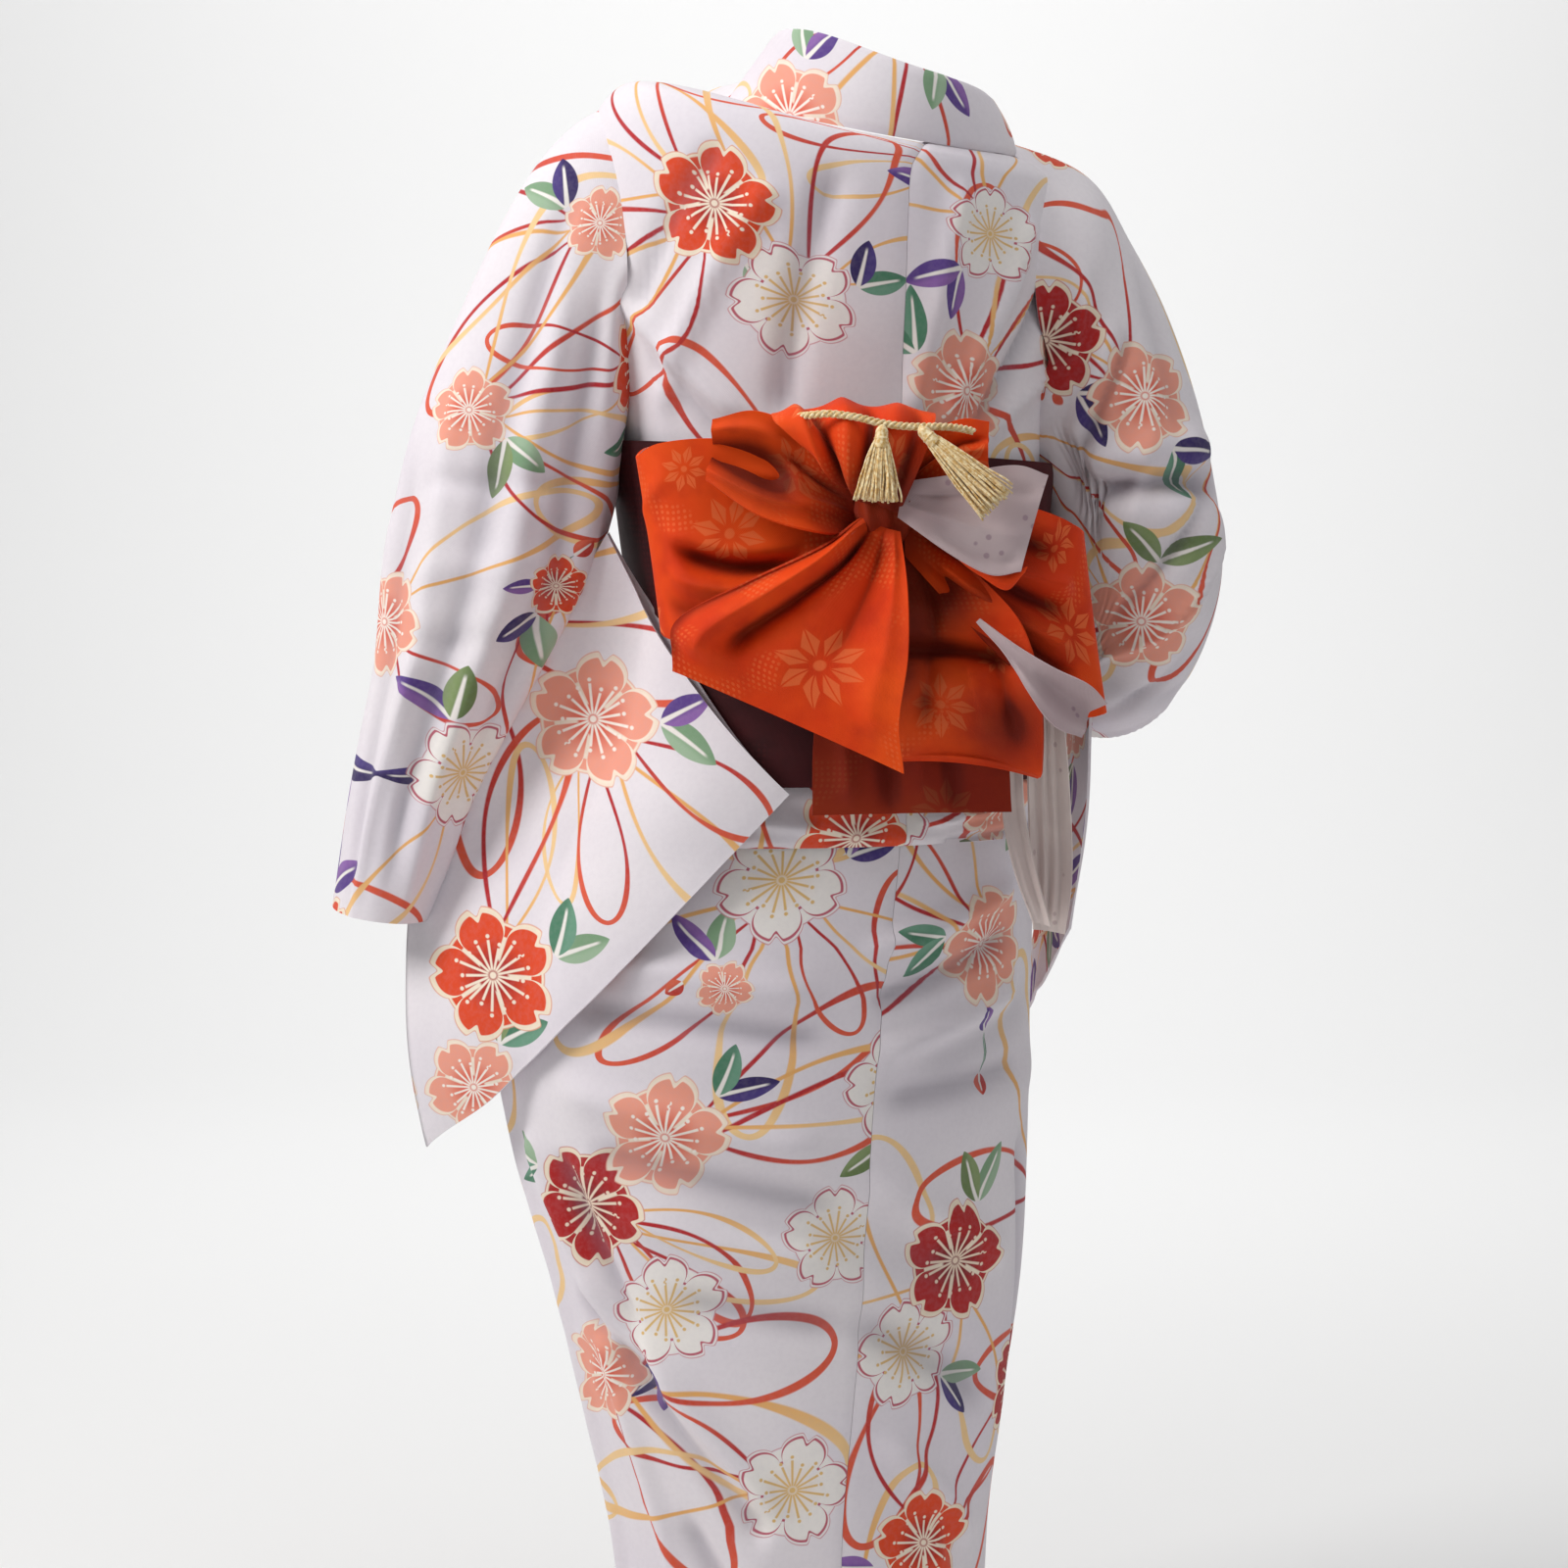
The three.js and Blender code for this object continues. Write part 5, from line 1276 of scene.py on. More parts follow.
# The bow: ribbons of obi cloth, each along a path with its breadth, slope and crown. A crease runs from one
# row and share of the breadth to another, then how deep and how wide; a break runs across the ribbon
# a piece's dark (amount, near, far), shade and hollow spots (side, z, reach, amount) add painted shade near
# the knot, over the piece and round the spots
bowRise = 11
ribbonNames = "side back z width lean swing crown"
bowPieces = {
    "bow_loop_left": {
        "centre": (88, 163, -296),
        "rows": table(ribbonNames, [
            (14, 170, -284, 50, 4, 0, 0),
            (55, 184, -290, 98, 4, 0, 6),
            (108, 189, -302, 140, 5, 0, 5),
            (150, 184, -308, 146, 7, 0, 2),
            (167, 164, -309, 128, 8, 0, 1),
            (158, 146, -308, 142, 7, 0, 0),
            (120, 141, -302, 132, 5, 0, 0),
            (66, 142, -292, 92, 4, 0, 0),
            (18, 146, -286, 50, 4, 0, 0),
        ]),
        "creases": [
            (1.2, -0.55, 3.0, -0.04, -18, 0.1), (1.2, -0.36, 3.2, 0.14, 7, 0.13),
            (0.2, 0.1, 1.9, 0.4, -8, 0.1), (0.2, 0.4, 1.8, 0.7, 5, 0.12), (0.9, -0.8, 3.2, -0.3, 8, 0.13),
            (1.6, -0.86, 3.4, -0.62, -6, 0.1), (3.0, 0.62, 4.2, 0.3, 3, 0.14),
        ],
    },
    "bow_loop_right": {
        "centre": (-88, 163, -330),
        "rows": table(ribbonNames, [
            (-20, 170, -292, 50, 0, 0, 0),
            (-62, 184, -318, 96, 4, 0, -6),
            (-108, 186, -346, 136, 6, 4, -6),
            (-142, 176, -362, 146, 6, 6, -2),
            (-160, 158, -366, 134, 8, 6, -1),
            (-150, 142, -364, 142, 6, 4, 0),
            (-112, 138, -350, 132, 4, 0, 0),
            (-64, 142, -322, 92, 2, 0, 0),
            (-22, 146, -294, 48, 0, 0, 0),
        ]),
        "creases": [
            (0.4, 0.1, 3.2, 0.34, 12, 0.12), (0.4, -0.12, 3.0, 0.06, -12, 0.09),
            (0.5, -0.4, 3.0, -0.3, 7, 0.12), (0.5, -0.62, 3.0, -0.58, -8, 0.1),
            (0.6, 0.58, 2.8, 0.62, -9, 0.1), (0.8, 0.8, 3.0, 0.84, 5, 0.1),
        ],
        "hollowShade": [(-82, -352, 34, 0.8), (-104, -404, 34, 0.9), (-100, -300, 24, 0.6)],
    },
    "bow_tail_panel": {
        "centre": (-20, 0, -430),
        "rows": table(ribbonNames, [
            (-8, 156, -302, 44, 90, 0, 0),
            (-18, 157, -385, 112, 90, 0, 4),
            (-24, 163, -450, 140, 91, 0, 6),
            (-26, 163, -506, 146, 91, 0, 5),
        ]),
        "creases": [
            (0.8, 0.3, 3.0, 0.2, -7, 0.1), (0.8, -0.05, 3.0, -0.12, 5, 0.12),
            (0.8, -0.3, 3.0, -0.45, -5, 0.1), (1.2, 0.7, 3.0, 0.62, 5, 0.1),
        ],
        "shade": 0.85,
    },
    "bow_lobe_lower": {
        "centre": (-56, 0, -400),
        "rows": table(ribbonNames, [
            (-36, 172, -318, 50, 90, 0, 4),
            (-54, 192, -366, 100, 88, 0, 12),
            (-60, 198, -420, 116, 86, 0, 16),
            (-62, 184, -466, 116, 84, 0, 12),
            (-62, 170, -474, 112, 84, 0, 6),
        ]),
        "creases": [
            (1.5, -0.1, 2.7, -0.3, 7, 0.16), (1.4, 0.36, 2.6, 0.5, -9, 0.12),
            (0.2, 0.2, 1.3, 0.3, -8, 0.12), (1.3, -0.5, 2.7, -0.7, -8, 0.12),
        ],
        "breaks": [(0.72, 0.0, 7, 0.3), (1.3, 0.25, -17, 0.13), (1.75, 0.1, 8, 0.3)],
        "dark": (0.9, 56, 128),
        "hollowShade": [(-18, -392, 28, 0.8), (-98, -430, 34, 0.9), (-30, -335, 34, 0.6)],
    },
    "bow_pleat_left": {
        "centre": (60, 120, -300),
        "rows": table(ribbonNames, [
            (16, 186, -282, 34, 10, 0, 2),
            (46, 204, -264, 72, 8, -10, 10),
            (86, 208, -250, 76, 2, -10, 8),
            (122, 200, -240, 44, -6, -6, 3),
        ]),
        "creases": [
            (1.5, 0.02, 3.3, 0.0, -22, 0.3), (1.3, 0.62, 3.2, 0.66, 6, 0.16),
            (1.2, -0.62, 3.2, -0.66, 9, 0.15), (0.2, 0.3, 1.6, 0.42, -7, 0.12),
            (0.2, -0.3, 1.5, -0.4, 6, 0.14),
        ],
        "hollowShade": [(96, -242, 22, 0.8), (70, -256, 18, 0.7)],
    },
    "bow_pleat_right": {
        "centre": (-40, 120, -300),
        "rows": table(ribbonNames, [
            (-16, 184, -276, 34, -6, 0, -2),
            (-34, 199, -256, 58, -8, -16, -6),
            (-56, 204, -246, 58, -6, -16, -6),
            (-80, 198, -242, 44, 0, -6, -3),
        ]),
        "creases": [
            (0.3, 0.2, 3.0, 0.1, 5, 0.13), (0.3, 0.5, 3.0, 0.42, -8, 0.1),
            (0.3, -0.36, 3.0, -0.46, -9, 0.11),
        ],
    },
    "bow_pleat_middle": {
        "centre": (16, 170, -255),
        "rows": table(ribbonNames, [
            (2, 196, -276, 40, 60, 0, 4),
            (16, 218, -252, 84, 70, 0, 10),
            (18, 218, -225, 112, 86, 0, 8),
            (18, 192, -214, 118, 90, 0, 4),
            (20, 164, -219, 104, 90, 0, 2),
        ]),
        "creases": [
            (0.1, 0.3, 2.9, 0.5, -14, 0.09), (0.1, 0.06, 3.6, 0.16, 8, 0.2),
            (0.1, -0.2, 2.6, -0.22, -12, 0.08), (0.2, 0.6, 3.0, 0.74, 7, 0.14),
            (0.2, -0.48, 3.6, -0.56, 5, 0.2), (0.2, -0.76, 2.8, -0.8, -8, 0.08),
        ],
        "dark": (0.95, 30, 84),
    },
    "bow_corner_flap": {
        "centre": (-60, 0, -290),
        "swap": True,
        "rows": table(ribbonNames, [
            (-16, 203, -276, 26, -10, 0, 0),
            (-50, 220, -284, 54, -12, -8, -3),
            (-88, 220, -290, 80, -14, -8, -4),
            (-112, 214, -293, 72, -16, -6, -2),
        ]),
        "creases": [
            (0.3, -0.2, 3.0, -0.3, 4, 0.16), (0.4, 0.4, 3.0, 0.6, -4, 0.14),
            (1.0, -0.7, 3.0, -0.8, -4, 0.14),
        ],
    },
    "bow_flap_front": {
        "centre": (30, 0, -370),
        "rows": table(ribbonNames, [
            (-2, 198, -294, 30, 70, 0, 2),
            (14, 220, -326, 74, 68, 0, 10),
            (38, 228, -362, 128, 66, 0, 12),
            (66, 226, -400, 176, 66, 0, 8),
            (65, 218, -436, 182, 66, 0, 3),
        ]),
        "creases": [
            (0.2, 0.36, 3.2, 0.5, -15, 0.085), (0.2, 0.66, 3.6, 0.78, 13, 0.15),
            (0.4, 0.05, 3.6, 0.1, 4, 0.2), (0.2, -0.3, 2.6, -0.3, -5, 0.1),
            (0.2, -0.7, 3.6, -0.76, 4, 0.14), (0.2, 0.97, 4.0, 0.99, -9, 0.1),
        ],
        "dark": (0.3, 20, 60),
    },
}
ties = {
    "tie_end_long": {
        "centre": (-120, 0, -500),
        "rows": table(ribbonNames, [
            (-124, 134, -404, 22, 88, 0, 0),
            (-128, 130, -480, 30, 86, 10, 7),
            (-131, 124, -550, 31, 84, 10, 6),
            (-130, 118, -598, 24, 80, 10, 3),
        ]),
        "creases": [
            (0.0, -0.5, 3.0, -0.62, -4, 0.12), (0.0, -0.14, 3.0, 0.02, -4.5, 0.1),
            (0.0, 0.14, 3.0, 0.34, 3.0, 0.12), (0.0, 0.56, 3.0, 0.5, -4, 0.12),
        ],
    },
    "tie_end_short": {
        "centre": (-110, 0, -500),
        "rows": table(ribbonNames, [
            (-103, 135.4, -420, 12, 88, 0, 0),
            (-101, 138, -496, 15, 88, 0, 3),
            (-110, 141, -548, 16, 80, 0, 3),
            (-123, 139, -590, 13, 74, 0, 2),
        ]),
        "creases": [(0.0, -0.3, 3.0, -0.4, -2.0, 0.2), (0.0, 0.4, 3.0, 0.3, 2.0, 0.2)],
    },
}
# turned-out edges that show the other face of the obi
edges = {
    "bow_loop_lip": {
        "centre": (-110, 0, -400),
        "swap": True,
        "rows": table(ribbonNames, [
            (-72, 201, -363, 4, -44, 0, 0),
            (-94, 208, -383, 9, -46, 0, -2),
            (-116, 210, -405, 24, -46, 0, -6),
            (-139, 205, -424, 38, -42, 0, -10),
            (-157, 193, -436, 30, -38, 0, -8),
        ]),
        "creases": [(1.4, -0.62, 4.4, -0.6, 5, 0.3), (2.0, 0.1, 4.4, 0.2, -4, 0.3)],
    },
    "bow_corner_lining": {
        "centre": (-70, 0, -300),
        "rows": table(ribbonNames, [
            (-22, 206, -279, 5, 0, 0, 0),
            (-54, 213, -311, 12, 8, 0, 3),
            (-74, 216, -325, 14, 4, 0, 4),
            (-92, 216, -335, 12, 0, 0, 3),
            (-106, 214, -326, 5, -20, 0, 1),
        ]),
        "creases": [],
    },
}
# woven flowers on the bow as they are seen from behind
bowFlowers = table("piece side z size", [
    ("bow_flap_front", 43, -384, 34),
    ("bow_flap_front", 3, -398, 24),
    ("bow_lobe_lower", -46, -414, 27),
    ("bow_loop_left", 107, -289, 30),
    ("bow_loop_left", 141, -242, 17),
    ("bow_loop_left", 128, -262, 14),
    ("bow_loop_left", 126, -370, 17),
    ("bow_pleat_left", 60, -242, 26),
    ("bow_pleat_middle", -8, -240, 22),
    ("bow_pleat_right", -60, -244, 24),
    ("bow_loop_right", -129, -301, 20),
    ("bow_loop_right", -140, -360, 28),
    ("bow_tail_panel", -50, -500, 26),
])
knot = {"side": -2, "back": 162, "z": -284, "across": 26, "deep": 39, "tall": 30}


def ribbonSheet(name, piece, thick, fine=2.6):
    rows = [{**row, "at": i} for i, row in enumerate(piece["rows"])]
    last = len(rows) - 1

    def column(key, where):
        return readTable(rows, "at", key, where)

    def spot(where):
        return np.stack([column("side", where), column("back", where), column("z", where) + bowRise], -1)

    path = spot(np.linspace(0, last, 200))
    length = float(np.linalg.norm(np.diff(path, axis=0), axis=1).sum())
    at = np.linspace(0, last, int(length / fine) + 6)[:, None]
    share = np.linspace(-1, 1, int(max(r["width"] for r in rows) / fine) + 8)[None, :]
    at, share = np.broadcast_arrays(at, share)
    way = spot(np.minimum(at + 0.05, last)) - spot(np.maximum(at - 0.05, 0))
    way /= np.linalg.norm(way, axis=-1, keepdims=True)
    lean, swing = np.radians(column("lean", at)), np.radians(column("swing", at))
    breadth = np.stack([np.sin(lean) * np.cos(swing), np.sin(swing), np.cos(lean) * np.cos(swing)], -1)
    face = np.cross(way, breadth)
    face /= np.linalg.norm(face, axis=-1, keepdims=True)
    out = column("crown", at) * (1 - share**2)
    folds = np.zeros(at.shape)
    p = spot(at) + breadth * (share * column("width", at) / 2)[..., None]
    sign = 1.0 if np.mean(np.sum(face * (p - np.array(piece["centre"])), -1)) > 0 else -1.0
    for a0, c0, a1, c1, deep, wide in piece["creases"]:
        t = np.clip((at - a0) / (a1 - a0), 0, 1)
        fade = smooth(at, a0 - 0.3, a0 + 0.4) * (1 - smooth(at, a1 - 0.5, a1 + 0.1))
        folds = folds + deep * np.exp(-np.abs((share - c0 - (c1 - c0) * t) / wide)**1.6) * fade
    for a0, c0, deep, wide in piece.get("breaks", ()):
        off = at - a0 - 0.12 * (share - c0)**2
        fade = 1 - 0.5 * np.abs(share - c0)**2
        folds = folds + deep * np.exp(-np.abs(off / wide)**1.8) * fade
    p = p + face * (out + sign * folds)[..., None]
    sheet = makeSheet(name, place(p[..., 0], p[..., 1], p[..., 2]), thick, place(*piece["centre"]),
                      middle=0.5)
    # painted shade: in the creases, near the knot, over the whole piece and round the listed spots
    toKnot = np.linalg.norm(p - np.array([knot["side"], knot["back"] + 26, knot["z"] + bowRise]), axis=-1)
    amount, near, far = piece.get("dark", (0.85, 22, 70))
    inFolds = np.clip(-folds / 11, 0, 1) * 0.75
    depth = inFolds + amount * (1 - smooth(toKnot, near, far)) + piece.get("shade", 0)
    for side, z, reach, dim in piece.get("hollowShade", ()):
        depth = depth + dim * np.exp(-((p[..., 0] - side)**2 + (p[..., 2] - z)**2) / reach**2)
    sheet.shade = np.clip(depth, 0, 1)
    return sheet


def knotSheet():
    rise = np.radians(np.linspace(86, -86, 40))[:, None]
    angle = np.radians(np.linspace(-180, 180, 97))[None, :]
    pleat = 1 + 0.08 * np.cos(angle * 5) + 0.05 * np.cos(angle * 11 + 1.5 * np.sin(rise * 2))
    reach = np.cos(rise) * pleat
    side = knot["side"] + knot["across"] * reach * np.cos(angle)
    back = knot["back"] + knot["deep"] * reach * np.sin(angle)
    z = knot["z"] + bowRise + knot["tall"] * np.sin(rise) + 0 * angle
    sheet = makeSheet("bow_knot", place(side, back, z), 1.5,
                      place(knot["side"], knot["back"], knot["z"] + bowRise))
    # the whole knot painted dark: painted shade
    sheet.shade = np.full(sheet.points.shape[:2], 0.85)
    return sheet


# The cord over the bow and its two tassels
cordRoute = [
    (62, 218, -206), (50, 229, -205), (38, 233, -204), (26, 234, -205), (14, 234, -207), (2, 233, -210),
    (-10, 231, -212), (-22, 228, -213), (-34, 224, -213), (-46, 219, -213), (-58, 212, -214),
    (-68, 205, -216),
]
cordPiece = {"width": 6.0, "strands": 3, "pitch": 13.0}


def smoothPath(points, count):
    rows = [{"at": i, "a": p[0], "b": p[1], "c": p[2]} for i, p in enumerate(points)]
    at = np.linspace(0, len(points) - 1, count)
    return np.stack([readTable(rows, "at", key, at) for key in "abc"], -1)


def tube(path, radius, sides, frameUp=np.array([0.13, 0.9, 0.4])):
    way = np.gradient(path, axis=0)
    way /= np.linalg.norm(way, axis=1, keepdims=True)
    a = np.cross(way, frameUp)
    a /= np.linalg.norm(a, axis=1, keepdims=True)
    b = np.cross(a, way)
    turn = np.linspace(0, 2 * math.pi, sides, endpoint=False)
    c, s = np.cos(turn)[None, :, None], np.sin(turn)[None, :, None]
    ring = path[:, None] + radius * (a[:, None] * c + b[:, None] * s)
    verts = ring.reshape(-1, 3)
    faces = []
    n = len(path)
    for i in range(n - 1):
        for j in range(sides):
            k = (j + 1) % sides
            faces.append((i * sides + j, i * sides + k, (i + 1) * sides + k, (i + 1) * sides + j))
    faces.append(tuple(reversed(range(sides))))
    faces.append(tuple((n - 1) * sides + j for j in range(sides)))
    return verts, faces


def joinedMesh(name, parts, material):
    verts, faces, shift = [], [], 0
    for v, f in parts:
        verts.extend(np.asarray(v).tolist())
        faces.extend(tuple(i + shift for i in face) for face in f)
        shift += len(v)
    mesh = bpy.data.meshes.new(name)
    mesh.from_pydata(verts, [], faces)
    mesh.polygons.foreach_set("use_smooth", np.ones(len(faces), bool))
    mesh.materials.append(material)
    editable = bmesh.new()
    editable.from_mesh(mesh)
    bmesh.ops.recalc_face_normals(editable, faces=editable.faces)
    editable.to_mesh(mesh)
    editable.free()
    obj = bpy.data.objects.new(name, mesh)
    bpy.context.scene.collection.objects.link(obj)
    return obj


def makeCord():
    path = smoothPath(cordRoute, 150)
    far = np.concatenate([[0], np.cumsum(np.linalg.norm(np.diff(path, axis=0), axis=1))])
    way = np.gradient(path, axis=0)
    way /= np.linalg.norm(way, axis=1, keepdims=True)
    a = np.cross(way, np.array([0.13, 0.9, 0.4]))
    a /= np.linalg.norm(a, axis=1, keepdims=True)
    b = np.cross(a, way)
    strandRadius = cordPiece["width"] / 2 * 0.475
    parts = []
    for k in range(cordPiece["strands"]):
        turn = far / cordPiece["pitch"] * 2 * math.pi + k * 2 * math.pi / cordPiece["strands"]
        off = (cordPiece["width"] / 2 - strandRadius)
        strand = path + off * (a * np.cos(turn)[:, None] + b * np.sin(turn)[:, None])
        parts.append(tube(place(strand[:, 0], strand[:, 1], strand[:, 2]), strandRadius * mm, 8))
    obj = joinedMesh("bow_cord", parts, yarn)
    route = place(path[:, 0], path[:, 1], path[:, 2])
    return obj, route, float(far[-1]) * mm


tassels = {
    "tassel_left": {"top": (-2, 234, -211.5), "lean": 4, "length": 56, "spread": 18, "strands": 64,
                    "seed": 4},
    "tassel_right": {"top": (-28, 228, -213.5), "lean": -46, "length": 80, "spread": 17, "strands": 64,
                     "seed": 9},
}


def tasselNodes():
    tree = bpy.data.node_groups.new("tasselStrands", "GeometryNodeTree")
    face = tree.interface
    face.new_socket(name="Geometry", in_out="INPUT", socket_type="NodeSocketGeometry")
    sizes = {}
    for name, kind in (("Strands", "NodeSocketInt"), ("Length", "NodeSocketFloat"),
                       ("Spread", "NodeSocketFloat"), ("Seed", "NodeSocketInt")):
        sizes[name] = face.new_socket(name=name, in_out="INPUT", socket_type=kind).identifier
    face.new_socket(name="Geometry", in_out="OUTPUT", socket_type="NodeSocketGeometry")
    new, link = tree.nodes.new, tree.links.new
    inputs = new("NodeGroupInput")

    index = new("GeometryNodeInputIndex").outputs[0]
    turn = times(tree, index, 2.39996)
    reach = calc(tree, "SQRT", over(tree, plus(tree, index, 0.5), inputs.outputs["Strands"]))
    root = new("ShaderNodeCombineXYZ")
    feed(tree, root.inputs[0], times(tree, calc(tree, "COSINE", turn), reach))
    feed(tree, root.inputs[1], times(tree, calc(tree, "SINE", turn), reach))
    points = new("GeometryNodePoints")
    link(inputs.outputs["Strands"], points.inputs["Count"])
    store = new("GeometryNodeStoreNamedAttribute")
    store.data_type = "FLOAT_VECTOR"
    store.inputs["Name"].default_value = "rootPlace"
    link(points.outputs[0], store.inputs["Geometry"])
    link(root.outputs[0], store.inputs["Value"])
    line = new("GeometryNodeCurvePrimitiveLine")
    line.inputs["End"].default_value = (0, 0, -1)
    resample = new("GeometryNodeResampleCurve")
    resample.inputs["Count"].default_value = 11
    link(line.outputs[0], resample.inputs["Curve"])
    scatter = new("GeometryNodeInstanceOnPoints")
    link(store.outputs[0], scatter.inputs["Points"])
    link(resample.outputs[0], scatter.inputs["Instance"])
    realize = new("GeometryNodeRealizeInstances")
    link(scatter.outputs[0], realize.inputs[0])
    saved = new("GeometryNodeInputNamedAttribute")
    saved.data_type = "FLOAT_VECTOR"
    saved.inputs["Name"].default_value = "rootPlace"
    share = new("GeometryNodeSplineParameter").outputs["Factor"]
    away = new("ShaderNodeSeparateXYZ")
    link(saved.outputs[0], away.inputs[0])
    opened = plus(tree, times(tree, calc(tree, "POWER", share, 0.75), inputs.outputs["Spread"]), 0.0032)
    noise = new("ShaderNodeTexNoise")
    noise.noise_dimensions = "4D"
    noise.inputs["Scale"].default_value = 1.0
    stretched = new("ShaderNodeVectorMath")
    stretched.operation = "SCALE"
    link(saved.outputs[0], stretched.inputs[0])
    stretched.inputs["Scale"].default_value = 9.0
    link(stretched.outputs[0], noise.inputs["Vector"])
    link(plus(tree, times(tree, share, 1.3), inputs.outputs["Seed"]), noise.inputs["W"])
    wiggle = new("ShaderNodeSeparateXYZ")
    link(noise.outputs["Color"], wiggle.inputs[0])

    def wave(channel, amount):
        return times(tree, times(tree, minus(tree, wiggle.outputs[channel], 0.5), share), amount)

    moved = new("ShaderNodeCombineXYZ")
    feed(tree, moved.inputs[0], plus(tree, times(tree, away.outputs[0], opened), wave(0, 0.012)))
    feed(tree, moved.inputs[1], plus(tree, times(tree, times(tree, away.outputs[1], opened), 0.5),
                                     wave(1, 0.008)))
    ends = plus(tree, times(tree, wiggle.outputs[2], 0.22), 0.86)
    feed(tree, moved.inputs[2], times(tree, times(tree, times(tree, share, ends), inputs.outputs["Length"]),
                                      -1.0))
    setPlace = new("GeometryNodeSetPosition")
    link(realize.outputs[0], setPlace.inputs["Geometry"])
    link(moved.outputs[0], setPlace.inputs["Position"])
    circle = new("GeometryNodeCurvePrimitiveCircle")
    circle.inputs["Resolution"].default_value = 5
    circle.inputs["Radius"].default_value = 0.0008
    toMesh = new("GeometryNodeCurveToMesh")
    link(setPlace.outputs[0], toMesh.inputs["Curve"])
    link(circle.outputs[0], toMesh.inputs["Profile Curve"])
    toMesh.inputs["Fill Caps"].default_value = True
    flush = new("GeometryNodeRealizeInstances")
    link(toMesh.outputs[0], flush.inputs[0])
    paint = new("GeometryNodeSetMaterial")
    paint.inputs["Material"].default_value = yarn
    link(flush.outputs[0], paint.inputs["Geometry"])
    output = new("NodeGroupOutput")
    link(paint.outputs[0], output.inputs[0])
    return tree, sizes


def makeTassel(name, tree, sizes):
    one = tassels[name]
    carrier = bpy.data.objects.new(name + "Strands", bpy.data.meshes.new(name + "Strands"))
    bpy.context.scene.collection.objects.link(carrier)
    modifier = carrier.modifiers.new("strands", "NODES")
    modifier.node_group = tree
    modifier[sizes["Strands"]] = one["strands"]
    modifier[sizes["Length"]] = (one["length"] - 9) * mm
    modifier[sizes["Spread"]] = (one["spread"] - 4) * mm
    modifier[sizes["Seed"]] = one["seed"]
    graph = bpy.context.evaluated_depsgraph_get()
    plain = bpy.data.meshes.new_from_object(carrier.evaluated_get(graph))
    carrier.modifiers.clear()
    bpy.data.objects.remove(carrier)
    verts = np.zeros(len(plain.vertices) * 3)
    plain.vertices.foreach_get("co", verts)
    verts = verts.reshape(-1, 3) / mm
    verts[:, 2] -= 9
    faces = [tuple(p.vertices) for p in plain.polygons]
    drops = np.linspace(0, 17, 30)
    radius = np.interp(drops, [0, 1.5, 4, 10, 11, 13, 14.5, 17], [1.0, 2.8, 4.4, 4.8, 4.4, 4.5, 5.0, 4.6])
    radius = radius + np.where((drops > 9.6) & (drops < 14), 0.35 * np.abs(np.sin(drops * 3.4)) + 0.3,
                               0.12 * np.sin(drops * 5))
    turn = np.linspace(0, 2 * math.pi, 20, endpoint=False)
    ring = np.stack(np.broadcast_arrays(radius[:, None] * np.cos(turn), radius[:, None] * np.sin(turn),
                                        -drops[:, None]), -1).reshape(-1, 3)
    head = []
    for i in range(29):
        for j in range(20):
            k = (j + 1) % 20
            head.append((i * 20 + j, i * 20 + k, (i + 1) * 20 + k, (i + 1) * 20 + j))
    head.append(tuple(range(20)))
    head.append(tuple(29 * 20 + j for j in reversed(range(20))))
    lean = math.radians(one["lean"])
    down = np.array([math.sin(lean), 0.12, -math.cos(lean)])
    down /= np.linalg.norm(down)
    wide = np.array([-down[2], 0, down[0]])
    wide /= np.linalg.norm(wide)
    deep = np.cross(down, wide)

    def stand(local):
        p = np.array(one["top"]) + local[:, :1] * wide + local[:, 1:2] * deep - local[:, 2:] * down
        return place(p[:, 0], p[:, 1], p[:, 2])

    obj = joinedMesh(name, [(stand(verts), faces), (stand(ring), head)], yarn)
    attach(obj, "root")
    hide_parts(name)
    return obj


tree, sizes = tasselNodes()
tasselObjects = [makeTassel(name, tree, sizes) for name in tassels]
cord, cordLine, cordLength = makeCord()
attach(cord, "root")
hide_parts("bow_cord")
print("cord and tassels ready")


